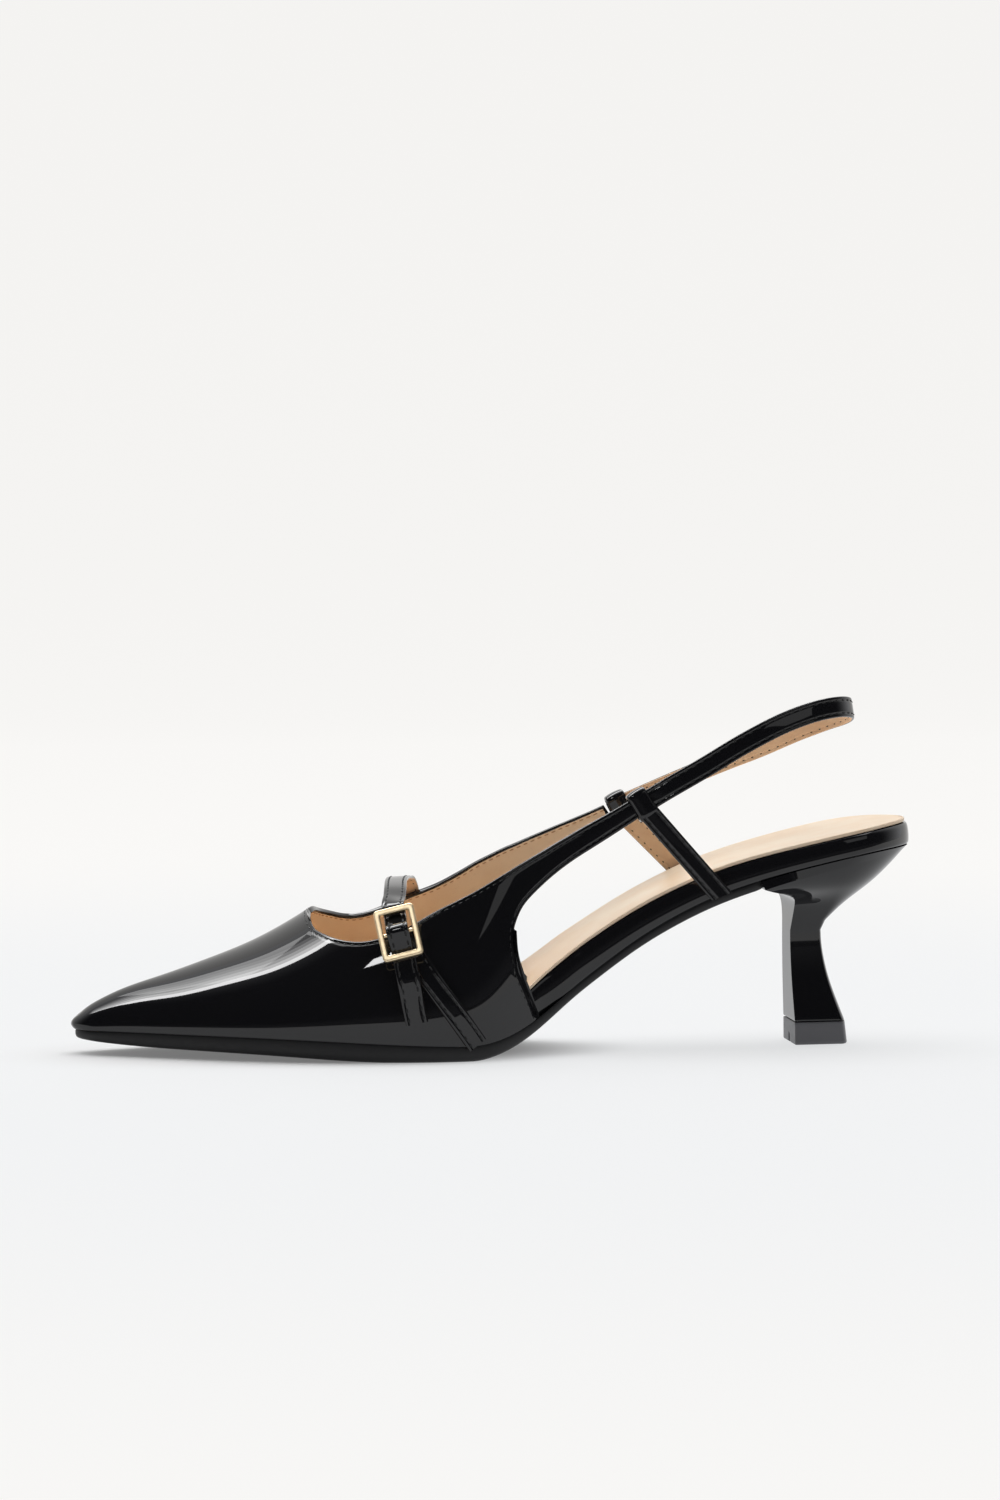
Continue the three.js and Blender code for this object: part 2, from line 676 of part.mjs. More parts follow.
const outerEnd = bandEnd(0);
const innerEnd = bandEnd(1);

// Sling from the outer loop round the back to the inner loop. Columns: share of the reach behind the loops, share of
// half the sling's width, share of its rise.
const slingRun = [
  [0.09, -0.97, 0.135],
  [0.27, -1.00, 0.385],
  [0.46, -1.00, 0.655],
  [0.64, -0.93, 0.865],
  [0.80, -0.77, 0.985],
  [0.92, -0.54, 1.020],
  [0.985, -0.26, 1.000],
  [1.00, 0.00, 0.955],
  [0.985, 0.26, 0.905],
  [0.92, 0.54, 0.830],
  [0.80, 0.77, 0.700],
  [0.64, 0.93, 0.520],
  [0.46, 1.00, 0.350],
  [0.27, 1.00, 0.165],
];
const slingLean = 0.16;
function slingGeometry() {
  const start = outerEnd.place.clone().addScaledVector(outerEnd.along, 2 * clearance);
  const stops = [{ place: start, face: outerEnd.face }];
  slingRun.forEach(([reach, half, rise]) => {
    const place = new THREE.Vector3(
      start.x + reach * slingReach,
      half * slingWidth,
      start.z + rise * slingRise,
    );
    const round = ease((reach - 0.5) / 0.5);
    const face = new THREE.Vector3(round * (1 - Math.abs(half)) * 1.4, half, slingLean).normalize();
    stops.push({ place, face });
  });
  const end = innerEnd.place.clone().addScaledVector(innerEnd.along, slingGap);
  stops.push({ place: end, face: innerEnd.face });
  return strap(smoothPath(stops, 46), strapWidth - 0.4, strapThickness);
}

// Elastic between the inner band and the sling, held by the inner loop
const slingGap = 7;
function elasticGeometry() {
  const { place, along, face } = innerEnd;
  const stops = [0, 0.5, 1].map((t) => ({
    place: place.clone().addScaledVector(along, mix(2 * clearance, slingGap - 2 * clearance, t)),
    face,
  }));
  return strap(stops, strapWidth - 1.6, strapThickness - 0.4);
}

// Side stays: a strap from the bottom of the rand up to the band, ending in a loop round it
const stayParts = 8;
function stayGeometry(side, end, loopShift, footShare) {
  const sign = side === 0 ? -1 : 1;
  const middle = end.place.clone().addScaledVector(end.along, loopShift);
  const across = new THREE.Vector3().crossVectors(end.face, end.along).normalize();
  if (across.z > 0) across.negate();
  const out = end.face.clone();
  const innerWide = Math.max(end.width, strapWidth - 0.4) / 2 + clearance + 0.1;
  const innerDeep = Math.max(wall, strapThickness) / 2 + clearance + 0.15;
  const ring = new THREE.Shape();
  const [wide, deep] = [innerWide + loopWall, innerDeep + stayThickness];
  ring.moveTo(-wide, -deep);
  ring.lineTo(wide, -deep);
  ring.lineTo(wide, deep);
  ring.lineTo(-wide, deep);
  ring.closePath();
  const hole = new THREE.Path();
  hole.moveTo(-innerWide, -innerDeep);
  hole.lineTo(-innerWide, innerDeep);
  hole.lineTo(innerWide, innerDeep);
  hole.lineTo(innerWide, -innerDeep);
  hole.closePath();
  ring.holes.push(hole);
  const loop = new THREE.ExtrudeGeometry(ring, { depth: stayWidth, bevelEnabled: false });
  loop.translate(0, 0, -stayWidth / 2);
  const basis = new THREE.Matrix4().makeBasis(across, out, new THREE.Vector3().crossVectors(across, out));
  loop.applyMatrix4(basis.setPosition(middle));
  const footX = footShare * shoeLength;
  const rand = sign * (planHalf[side](footX) + featherMargin + clearance + stayThickness / 2 + 0.15);
  const low = new THREE.Vector3(footX, rand, featherAt(footX) - 0.3);
  const high = middle.clone().addScaledVector(out, innerDeep + stayThickness / 2);
  high.addScaledVector(across, innerWide * 0.5);
  const flat = new THREE.Vector3(0, sign, 0);
  const run = [];
  for (let i = 0; i <= stayParts; i += 1) {
    const t = i / stayParts;
    run.push({ place: high.clone().lerp(low, t), face: out.clone().lerp(flat, ease(t * 1.6)).normalize() });
  }
  const fall = low.clone().sub(high).normalize();
  const randRun = new THREE.Vector3(2, 0, featherAt(footX + 1) - featherAt(footX - 1)).normalize();
  const slant = randRun.dot(fall) / randRun.clone().cross(fall).length();
  const band = strap(run, stayWidth, stayThickness, (sign * stayWidth * slant) / 2);
  return fromManifold(toManifold(loop).add(toManifold(band)));
}

// Buckle frame on the outer side. Its plane leans with the upper at the topline.
const buckleAt = 0.3748 * shoeLength;
const buckleUp = 0.628 * sideHeight;
const buckleLift = 5.15;
const buckleSpot = onUpper(0, buckleAt, buckleUp, buckleLift);
const strapUp = new THREE.Vector3(-0.15, 0.46, 0.875).normalize();
const buckleFace = buckleSpot.face.clone().addScaledVector(strapUp, -buckleSpot.face.dot(strapUp)).normalize();
const buckleSide = new THREE.Vector3().crossVectors(strapUp, buckleFace).normalize();
const buckleBasis = new THREE.Matrix4().makeBasis(buckleSide, strapUp, buckleFace).setPosition(buckleSpot.place);

function roundedRectangle(shape, width, height, radius) {
  const [w, h] = [width / 2, height / 2];
  shape.moveTo(-w + radius, -h);
  shape.lineTo(w - radius, -h);
  shape.absarc(w - radius, -h + radius, radius, -Math.PI / 2, 0, false);
  shape.lineTo(w, h - radius);
  shape.absarc(w - radius, h - radius, radius, 0, Math.PI / 2, false);
  shape.lineTo(-w + radius, h);
  shape.absarc(-w + radius, h - radius, radius, Math.PI / 2, Math.PI, false);
  shape.lineTo(-w, -h + radius);
  shape.absarc(-w + radius, -h + radius, radius, Math.PI, Math.PI * 1.5, false);
  return shape;
}

function buckleGeometry() {
  const frame = roundedRectangle(new THREE.Shape(), buckleWidth, buckleLength, 1.1);
  frame.holes.push(roundedRectangle(
    new THREE.Path(), buckleWidth - 2 * buckleBar, buckleLength - 2 * buckleBar, 0.5,
  ));
  const ring = new THREE.ExtrudeGeometry(frame, { depth: buckleDepth, bevelEnabled: false, curveSegments: 4 });
  ring.translate(0, 0, -buckleDepth / 2);
  const bar = new THREE.CylinderGeometry(barRadius, barRadius, buckleWidth - 1.2 * buckleBar, 10);
  bar.rotateZ(Math.PI / 2);
  const whole = fromManifold(toManifold(ring).add(toManifold(bar)));
  return whole.applyMatrix4(buckleBasis);
}

// A place in the buckle's own directions: along the strap towards the throat and out of its face
const atBuckle = (along, out, across = 0) => ({
  place: new THREE.Vector3(across, along, out).applyMatrix4(buckleBasis),
  face: buckleFace.clone(),
});

// Buckle stay: from the feather line up to the bar, round which it is folded
const eyeInner = barRadius + 0.25;
const eyeOuter = eyeInner + stayThickness * 0.8;
const stayFoot = 0.4600 * shoeLength;
const stayLift = clearance + stayThickness / 2;
function buckleStayGeometry() {
  const stops = [
    onUpper(0, stayFoot, 0.012 * sideHeight, stayLift),
    onUpper(0, 0.4360 * shoeLength, 0.190 * sideHeight, stayLift + 0.1),
    onUpper(0, 0.4070 * shoeLength, 0.395 * sideHeight, stayLift + 0.15),
    onUpper(0, 0.3845 * shoeLength, 0.565 * sideHeight, stayLift + 0.05),
    atBuckle(-1.8, -(eyeInner + eyeOuter) / 2),
    atBuckle(0, -(eyeInner + eyeOuter) / 2),
  ];
  const band = strap(smoothPath(stops, 18), stayWidth, stayThickness * 0.8);
  const ring = new THREE.Shape();
  ring.absarc(0, 0, eyeOuter, 0, Math.PI * 2, false);
  const hole = new THREE.Path();
  hole.absarc(0, 0, eyeInner, 0, Math.PI * 2, true);
  ring.holes.push(hole);
  const eye = new THREE.ExtrudeGeometry(ring, { depth: stayWidth, bevelEnabled: false, curveSegments: 7 });
  eye.translate(0, 0, -stayWidth / 2);
  eye.applyMatrix4(new THREE.Matrix4().makeBasis(strapUp, buckleFace, buckleSide).setPosition(buckleSpot.place));
  return fromManifold(toManifold(eye).add(toManifold(band)));
}

// Instep strap: from the inner feather line over the foot, through the buckle and down in a loose end
const under = -(buckleDepth / 2 + clearance + strapThickness / 2 + 0.15);
const over = eyeOuter + clearance + strapThickness / 2;
// Free arch over the foot. Columns: share of the length, share of half the ball width, height above the feather line
// as a share of the side height, and the sideways part of the way that the strap looks.
const strapArch = [
  [0.4042, 0.650, 0.892, 0.90],
  [0.3970, 0.470, 0.914, 0.50],
  [0.3888, 0.220, 0.931, 0.22],
  [0.3822, -0.040, 0.926, 0.00],
  [0.3760, -0.360, 0.902, -0.26],
  [0.3718, -0.560, 0.866, -0.48],
];
function instepStrapGeometry() {
  const lift = clearance + strapThickness / 2;
  const stops = [
    onUpper(1, 0.4530 * shoeLength, 0.012 * sideHeight, lift),
    onUpper(1, 0.4400 * shoeLength, 0.280 * sideHeight, lift),
    onUpper(1, 0.4270 * shoeLength, 0.520 * sideHeight, lift),
    onUpper(1, 0.4160 * shoeLength, 0.690 * sideHeight, lift),
    onUpper(1, 0.4100 * shoeLength, 0.820 * sideHeight, lift + 0.3),
  ];
  strapArch.forEach(([along, half, up, look]) => {
    const at = along * shoeLength;
    stops.push({
      place: new THREE.Vector3(at, (half * ballWidth) / 2, featherAt(at) + up * sideHeight),
      face: new THREE.Vector3(0, look, 1).normalize(),
    });
  });
  const half = buckleLength / 2;
  stops.push(atBuckle(half + 1.2, under - 0.1));
  stops.push(atBuckle(half - buckleBar / 2, under));
  stops.push(atBuckle(half - buckleBar - 0.5, under + 0.25));
  stops.push(atBuckle(3, (under + over) / 2 + 0.2));
  stops.push(atBuckle(0.7, over));
  stops.push(atBuckle(-0.7, over));
  stops.push(atBuckle(-3, (under + over) / 2 + 0.2));
  stops.push(atBuckle(-(half - buckleBar - 0.5), under + 0.25));
  stops.push(atBuckle(-(half - buckleBar / 2), under));
  stops.push(onUpper(0, 0.3810 * shoeLength, 0.400 * sideHeight, lift + stayThickness + 0.9));
  stops.push(onUpper(0, 0.3850 * shoeLength, 0.270 * sideHeight, lift + 0.5));
  stops.push(onUpper(0, 0.3900 * shoeLength, 0.140 * sideHeight, lift + 0.1));
  return strap(smoothPath(stops, 72), strapWidth, strapThickness);
}

const patent = { color: 0x0b0b0d, roughness: 0.12, metalness: 0 };
const finishes = {
  upper: patent,
  outsole: { color: 0x141416, roughness: 0.45, metalness: 0 },
  insole_board: patent,
  insole: { color: 0xeccaa8, roughness: 0.6, metalness: 0 },
  heel: patent,
  heel_tip: { color: 0x3a3a40, roughness: 0.5, metalness: 0 },
  sling_strap: patent,
  elastic: { color: 0x101012, roughness: 0.8, metalness: 0 },
  stay_lateral: patent,
  stay_medial: patent,
  buckle: { color: 0xe8c690, roughness: 0.2, metalness: 1 },
  buckle_stay: patent,
  instep_strap: patent,
};

const geometries = {
  upper: upperGeometry(),
  outsole: outsoleGeometry(),
  insole_board: boardGeometry(),
  insole: sockGeometry(),
  heel: heelGeometry(),
  heel_tip: tipGeometry(),
  sling_strap: slingGeometry(),
  elastic: elasticGeometry(),
  stay_lateral: stayGeometry(0, outerEnd, -0.2, 0.7580),
  stay_medial: stayGeometry(1, innerEnd, 4.0, 0.7560),
  buckle: buckleGeometry(),
  buckle_stay: buckleStayGeometry(),
  instep_strap: instepStrapGeometry(),
};

const group = new THREE.Group();
const box = new THREE.Box3();
Object.entries(geometries).forEach(([name, geometry]) => {
  geometry.computeVertexNormals();
  geometry.computeBoundingBox();
  box.union(geometry.boundingBox);
  const mesh = new THREE.Mesh(geometry, new THREE.MeshStandardMaterial(finishes[name]));
  mesh.name = name;
  group.add(mesh);
});
const middle = box.getCenter(new THREE.Vector3());
group.position.set(-middle.x, -middle.y, 0);

export default group;
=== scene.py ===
"""Looks of a black patent slingback pump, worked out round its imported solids. Lengths are in millimetres
until a mesh is made. at is the place along the shoe from the toe tip, up the share of the way from feather line
to ridge."""
import math
import bmesh
import bpy
import mathutils
import numpy as np
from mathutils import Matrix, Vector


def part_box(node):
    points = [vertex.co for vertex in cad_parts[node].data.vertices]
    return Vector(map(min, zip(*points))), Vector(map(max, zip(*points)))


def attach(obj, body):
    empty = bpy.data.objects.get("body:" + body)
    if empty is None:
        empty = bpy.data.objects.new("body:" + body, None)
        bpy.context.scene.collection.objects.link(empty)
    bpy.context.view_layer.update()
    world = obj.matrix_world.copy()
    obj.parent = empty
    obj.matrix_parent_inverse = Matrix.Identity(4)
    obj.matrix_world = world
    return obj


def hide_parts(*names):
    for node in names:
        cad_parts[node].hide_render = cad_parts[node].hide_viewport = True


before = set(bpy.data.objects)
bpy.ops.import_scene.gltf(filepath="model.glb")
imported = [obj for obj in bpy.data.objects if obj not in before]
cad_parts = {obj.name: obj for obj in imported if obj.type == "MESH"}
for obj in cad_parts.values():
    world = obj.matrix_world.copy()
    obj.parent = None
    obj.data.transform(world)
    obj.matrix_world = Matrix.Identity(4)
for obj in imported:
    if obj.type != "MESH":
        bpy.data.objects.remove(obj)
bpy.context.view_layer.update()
MM = 0.001

# Driving sizes, as in the solids
LENGTH = 260.0
BALL_WIDTH = 74.0
HEEL_HEIGHT = 62.0
THROAT_HEIGHT = 38.0
SIDE_HEIGHT = 50.0
WALL = 1.8
LINING = 0.8
SOLE_EDGE = 4.6
RAND_HEIGHT = 8.0
SOCK = 1.2
SOCK_MARGIN = 1.4
FEATHER_MARGIN = 0.6
TOE_SWING = 3.0
GAP = 0.3
STRAP_WIDTH = 6.8
STRAP_THICK = 1.3
STAY_WIDTH = 6.3
STAY_THICK = 1.1
LOOP_WALL = 1.0
SLING_RISE = 28.0
SLING_REACH = 68.0
SLING_WIDTH = 20.4
BREAST = 209.5
SEAT_ROOM = 0.4
NECK_LENGTH = 10.6
NECK_HALF = 6.2
TIP_LENGTH = 17.7
TIP_HALF = 9.2
TIP_HEIGHT = 7.0
NOTCH_WIDTH = 2.0
NOTCH_HEIGHT = 3.0
BUCKLE_WIDTH = 12.4
BUCKLE_LENGTH = 16.6
BUCKLE_BAR = 1.8
BUCKLE_DEPTH = 1.6
BAR_RADIUS = 0.6

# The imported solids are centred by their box. The rand ends at LENGTH, the heel tip lies on the middle line.
SHIFT = np.array([
    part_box("insole_board")[1].x / MM - LENGTH,
    (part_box("heel_tip")[0].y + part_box("heel_tip")[1].y) / 2 / MM,
    0.0,
])


def mix(a, b, t):
    return a + (b - a) * t


def ease(t):
    t = np.clip(t, 0, 1)
    return t * t * (3 - 2 * t)


def unit(v):
    return v / np.maximum(np.linalg.norm(v, axis=-1, keepdims=True), 1e-12)


def spline(x, y):
    """Natural cubic spline through the values y at the places x, evaluated on whole arrays."""
    x, y = np.asarray(x, float), np.asarray(y, float)
    step = np.diff(x)
    inner = np.arange(1, len(x) - 1)
    system = np.eye(len(x))
    system[inner, inner - 1] = step[:-1]
    system[inner, inner] = 2 * (step[:-1] + step[1:])
    system[inner, inner + 1] = step[1:]
    turn = np.zeros(len(x))
    turn[inner] = 6 * np.diff(np.diff(y) / step)
    bend = np.linalg.solve(system, turn)

    def value(at):
        at = np.asarray(at, float)
        k = np.clip(np.searchsorted(x, at, side="right") - 1, 0, len(x) - 2)
        b = (at - x[k]) / step[k]
        a = 1 - b
        curve = (a ** 3 - a) * bend[k] + (b ** 3 - b) * bend[k + 1]
        return a * y[k] + b * y[k + 1] + curve * step[k] ** 2 / 6

    return value


def column(rows, number, scale):
    return spline(rows[:, 0] * LENGTH, rows[:, number] * scale)


# Plan of the last: place, outer and inner half width of the outsole, outer and inner half width of the upper
PLAN = np.array([
    [0.000, 0.052, 0.052, 0.060, 0.060], [0.023, 0.082, 0.080, 0.092, 0.090],
    [0.050, 0.120, 0.116, 0.133, 0.129], [0.100, 0.202, 0.190, 0.219, 0.207],
    [0.160, 0.296, 0.280, 0.316, 0.300], [0.240, 0.399, 0.385, 0.422, 0.408],
    [0.310, 0.464, 0.458, 0.490, 0.484], [0.370, 0.500, 0.480, 0.528, 0.508],
    [0.430, 0.508, 0.436, 0.536, 0.468], [0.480, 0.472, 0.352, 0.500, 0.400],
    [0.535, 0.372, 0.254, 0.410, 0.338], [0.580, 0.300, 0.214, 0.334, 0.312],
    [0.620, 0.276, 0.206, 0.306, 0.300], [0.680, 0.270, 0.218, 0.294, 0.290],
    [0.740, 0.274, 0.246, 0.290, 0.286], [0.800, 0.290, 0.281, 0.290, 0.286],
    [0.850, 0.310, 0.307, 0.290, 0.286], [0.900, 0.320, 0.318, 0.290, 0.286],
    [0.950, 0.302, 0.302, 0.290, 0.286], [1.000, 0.262, 0.262, 0.290, 0.286],
])
# Side view: place, feather line, edge of the outsole, foot side of the sock above the feather line
PROFILE = np.array([
    [0.000, 0.118, 0.50, 0.52], [0.050, 0.118, 0.78, 0.52], [0.120, 0.117, 0.95, 0.52],
    [0.235, 0.110, 1.09, 0.52], [0.315, 0.098, 1.18, 0.52], [0.380, 0.086, 1.12, 0.53],
    [0.430, 0.078, 1.02, 0.56], [0.465, 0.080, 0.98, 0.63], [0.490, 0.101, 0.92, 0.86],
    [0.512, 0.135, 0.86, 1.22], [0.538, 0.194, 0.78, 1.47], [0.562, 0.265, 0.73, 1.50],
    [0.587, 0.344, 0.69, 1.48], [0.612, 0.420, 0.67, 1.43], [0.660, 0.561, 0.65, 1.29],
    [0.708, 0.678, 0.64, 1.17], [0.757, 0.773, 0.62, 1.09], [0.800, 0.836, 0.58, 1.04],
    [0.842, 0.888, 0.55, 0.99], [0.885, 0.933, 0.55, 0.97], [0.930, 0.972, 0.55, 0.97],
    [0.970, 0.993, 0.55, 1.00], [1.000, 1.000, 0.55, 1.03],
])
RIDGE = np.array([
    [0.000, 0.115], [0.012, 0.170], [0.030, 0.235], [0.060, 0.325], [0.105, 0.428], [0.160, 0.562],
    [0.215, 0.718], [0.277, 0.966], [0.330, 1.21], [0.385, 1.45], [0.440, 1.80], [0.500, 2.30],
    [0.560, 2.66], [0.615, 2.84], [0.680, 2.80], [0.760, 2.78],
])
plan_half = [column(PLAN, 1, BALL_WIDTH), column(PLAN, 2, BALL_WIDTH)]
wide_half = [column(PLAN, 3, BALL_WIDTH), column(PLAN, 4, BALL_WIDTH)]
feather = column(PROFILE, 1, HEEL_HEIGHT)
edge = column(PROFILE, 2, SOLE_EDGE)
foot_rise = column(PROFILE, 3, RAND_HEIGHT)
ridge = column(RIDGE, 1, THROAT_HEIGHT)
NOSE_ROUND = 6.0
NOSE_LEAN = (1.1, 2.2)         # under and over the height where the tip stands furthest forward
NOSE_TIP = 0.4
NOSE_FADE = 7.0
SIGN = (-1.0, 1.0)             # the outer side of the foot, then the inner side


def tread(at):
    return np.maximum(0, feather(at) - GAP - edge(at))


def foot(at):
    return feather(at) + foot_rise(at)


def centre(at):
    return TOE_SWING * np.clip(1 - at / (0.45 * LENGTH), 0, 1) ** 2


def cap(at, start, radius):
    """Quarter circle: 0 at start, 1 from start + radius on."""
    return np.sqrt(1 - (1 - np.clip((at - start) / radius, 0, 1)) ** 2)


def last(side, at, up):
    """Surface of the last. Half width = widest * sqrt(1 - up^2)^1.1 - tuck * (1 - up)^3, height = feather
    line + ridge * up, and the toe tip leans back by a share that fades with exp(-at / NOSE_FADE)."""
    at, up = np.broadcast_arrays(np.asarray(at, float), np.asarray(up, float))
    nose = cap(at, 0, NOSE_ROUND)
    wide = wide_half[side](at) * nose
    tuck = wide - (plan_half[side](at) + FEATHER_MARGIN) * nose
    rise = np.clip(up, 0, 1)
    half = wide * np.sqrt(1 - rise * rise) ** 1.1 - tuck * (1 - rise) ** 3
    below, above = 1 - rise / NOSE_TIP, (rise - NOSE_TIP) / (1 - NOSE_TIP)
    lean = np.where(rise < NOSE_TIP, NOSE_LEAN[0] * below ** 2, NOSE_LEAN[1] * above ** 2)
    x = at + lean * np.exp(-at / NOSE_FADE)
    return np.stack([x, centre(at) + SIGN[side] * np.maximum(0, half), feather(at) + ridge(at) * rise], -1)


def last_normal(side, at, up):
    """Outward normal: the cross product of the surface's two directions, taken over a short step."""
    step = 0.02
    along = last(side, at + step, up) - last(side, np.maximum(0, at - step), up)
    climb = last(side, at, np.minimum(1, up + step)) - last(side, at, np.maximum(0, up - step))
    return unit(np.cross(along, climb) * -SIGN[side])


# Ribs of the upper from the throat to the loops: place and height of the foot, place and height of the top.
# The first starts further forward than in the solids, so it meets the edge of the throat at an open angle.
OUTER_RIBS = np.array([
    [0.222, 0.000, 0.2792, 0.780], [0.276, 0.000, 0.2768, 0.714], [0.292, 0.000, 0.2790, 0.664],
    [0.308, 0.000, 0.2860, 0.637], [0.324, 0.000, 0.2970, 0.617], [0.341, 0.000, 0.3120, 0.603],
    [0.360, 0.000, 0.3300, 0.604], [0.381, 0.000, 0.3480, 0.625], [0.404, 0.000, 0.3670, 0.662],
    [0.427, 0.000, 0.3855, 0.711], [0.450, 0.000, 0.4030, 0.766], [0.473, 0.000, 0.4185, 0.813],
    [0.495, 0.000, 0.4320, 0.849], [0.516, 0.000, 0.4435, 0.879], [0.5365, 0.000, 0.4535, 0.904],
    [0.529, 0.110, 0.4630, 0.926], [0.5175, 0.270, 0.4800, 0.961], [0.5095, 0.430, 0.4960, 0.984],
    [0.5065, 0.575, 0.5125, 0.997], [0.509, 0.655, 0.5290, 0.997], [0.518, 0.732, 0.5450, 0.986],
    [0.534, 0.774, 0.5610, 0.969], [0.556, 0.788, 0.5790, 0.947], [0.583, 0.777, 0.5990, 0.926],
    [0.612, 0.757, 0.6195, 0.905], [0.643, 0.741, 0.6400, 0.888], [0.672, 0.736, 0.6590, 0.878],
])
INNER_RIBS = np.array([
    [0.222, 0.000, 0.2792, 0.780], [0.276, 0.000, 0.2846, 0.753], [0.292, 0.000, 0.2931, 0.738],
    [0.308, 0.000, 0.3040, 0.716], [0.324, 0.000, 0.3150, 0.699], [0.341, 0.000, 0.3285, 0.682],
    [0.360, 0.000, 0.3445, 0.679], [0.381, 0.000, 0.3625, 0.699], [0.404, 0.000, 0.3810, 0.741],
    [0.427, 0.000, 0.4000, 0.792], [0.450, 0.000, 0.4175, 0.829], [0.473, 0.000, 0.4340, 0.863],
    [0.495, 0.000, 0.4480, 0.897], [0.518, 0.000, 0.4600, 0.929], [0.542, 0.000, 0.4700, 0.953],
    [0.537, 0.110, 0.4810, 0.977], [0.5285, 0.270, 0.4930, 0.996], [0.522, 0.430, 0.5065, 1.006],
    [0.519, 0.575, 0.5210, 1.009], [0.521, 0.655, 0.5360, 0.998], [0.529, 0.724, 0.5505, 0.980],
    [0.543, 0.760, 0.5650, 0.956], [0.562, 0.768, 0.5805, 0.929], [0.584, 0.752, 0.5960, 0.902],
    [0.607, 0.730, 0.6120, 0.876], [0.630, 0.712, 0.6270, 0.852], [0.654, 0.694, 0.6420, 0.832],
])
RIBS = (OUTER_RIBS, INNER_RIBS)
QUARTER_FOOT = 14              # the rib at the back end of the feather line
LAST_RIB = len(OUTER_RIBS) - 1
QUARTER_END = OUTER_RIBS[QUARTER_FOOT, 0] * LENGTH


def rib_curves(side):
    """Place and angle asin(up) of each rib's foot and top, as smooth functions of the rib's number. The foot
    line has a corner where it leaves the feather line."""
    rows = RIBS[side]
    number = np.arange(len(rows))
    foot_at, top_at = rows[:, 0] * LENGTH, rows[:, 2] * LENGTH
    foot_turn = np.arcsin(rows[:, 1] * SIDE_HEIGHT / ridge(foot_at))
    top_turn = np.arcsin(np.minimum(1, rows[:, 3] * SIDE_HEIGHT / ridge(top_at)))
    corner = QUARTER_FOOT
    halves = [[spline(number[part], values[part]) for part in (slice(0, corner + 1), slice(corner, None))]
              for values in (foot_at, foot_turn)]

    def foot_line(pair, rib):
        return np.where(rib < corner, pair[0](rib), pair[1](rib))

    top_place, top_angle = spline(number, top_at), spline(number, top_turn)
    return lambda rib: (foot_line(halves[0], rib), foot_line(halves[1], rib), top_place(rib), top_angle(rib))


rib_lines = [rib_curves(0), rib_curves(1)]


def side_field(side, rib, share):
    """Place and up of a point on the free side: both ends of its rib joined evenly in place and in angle."""
    foot_at, foot_turn, top_at, top_turn = rib_lines[side](rib)
    return mix(foot_at, top_at, share), np.sin(mix(foot_turn, top_turn, share))


def vamp_field(throat, share):
    """Place and up of a point on the closed vamp. throat is 0 at the toe and 1 at the throat."""
    foot_at = throat * OUTER_RIBS[0, 0] * LENGTH
    top_at = mix(foot_at, throat * OUTER_RIBS[0, 2] * LENGTH, throat)
    return mix(foot_at, top_at, share), np.sin(share * math.pi / 2)


# Making meshes


def finish_piece(name, points, faces, material, slot_name, stands_for=(), smooth=50, flip=False, fields=None):
    """A welded mesh from points in millimetres and faces. Edges sharper than smooth degrees stay sharp."""
    faces = [f[::-1] for f in faces] if flip else faces
    mesh = bpy.data.meshes.new(name)
    mesh.from_pydata(((points + SHIFT) * MM).tolist(), [], faces)
    for key, values in (fields or {}).items():
        layer = mesh.attributes.new(key, "FLOAT", "POINT")
        layer.data.foreach_set("value", np.asarray(values, np.float32).ravel())
    piece = bpy.data.objects.new(name, mesh)
    bpy.context.scene.collection.objects.link(piece)
    weld(mesh)
    mesh.polygons.foreach_set("use_smooth", [True] * len(mesh.polygons))
    mesh.set_sharp_from_angle(angle=math.radians(smooth))
    for finish in material if isinstance(material, (list, tuple)) else [material]:
        mesh.materials.append(finish)
    if stands_for:
        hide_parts(*stands_for)
    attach(piece, "root")
    return piece


def weld(mesh):
    """Joins points closer than 2 micrometres and drops what then has no area."""
    work = bmesh.new()
    work.from_mesh(mesh)
    bmesh.ops.delete(work, geom=[v for v in work.verts if not v.link_faces], context="VERTS")
    bmesh.ops.remove_doubles(work, verts=work.verts, dist=2e-6)
    bmesh.ops.dissolve_degenerate(work, edges=work.edges, dist=1e-7)
    work.to_mesh(mesh)
    work.free()


def grid_faces(rows, columns, shut_rows=False, shut_columns=False, start=0):
    """Quads of a grid of points. A shut direction joins its end to its start."""
    i = np.arange(rows if shut_rows else rows - 1)[:, None]
    j = np.arange(columns if shut_columns else columns - 1)[None, :]
    i2, j2 = (i + 1) % rows, (j + 1) % columns
    corners = (i * columns + j, i2 * columns + j, i2 * columns + j2, i * columns + j2)
    quad = np.stack(np.broadcast_arrays(*corners), -1)
    return (quad.reshape(-1, 4) + start).tolist()


def tube_faces(rows, columns, shut=False, start=0):
    """Quads of a tube of closed sections, with a face over each open end."""
    faces = grid_faces(rows, columns, shut, True, start)
    if not shut:
        faces.append([start + k for k in range(columns)])
        faces.append([start + (rows - 1) * columns + k for k in reversed(range(columns))])
    return faces


def outward(points, faces):
    """True if the closed mesh's faces point out, from the sign of its volume."""
    triangles = np.array([[f[0], f[k], f[k + 1]] for f in faces for k in range(1, len(f) - 1)])
    a, b, c = (points[triangles[:, k]] - points.mean(0) for k in range(3))
    return np.einsum("ij,ij->i", a, np.cross(b, c)).sum() > 0


def closed_piece(name, sections, material, slot_name, stands_for=(), shut=False, smooth=50):
    """A piece whose grid rows are closed sections."""
    rows, columns = sections.shape[:2]
    points = sections.reshape(-1, 3)
    faces = tube_faces(rows, columns, shut)
    return finish_piece(name, points, faces, material, slot_name, stands_for, smooth,
                        not outward(points, faces))


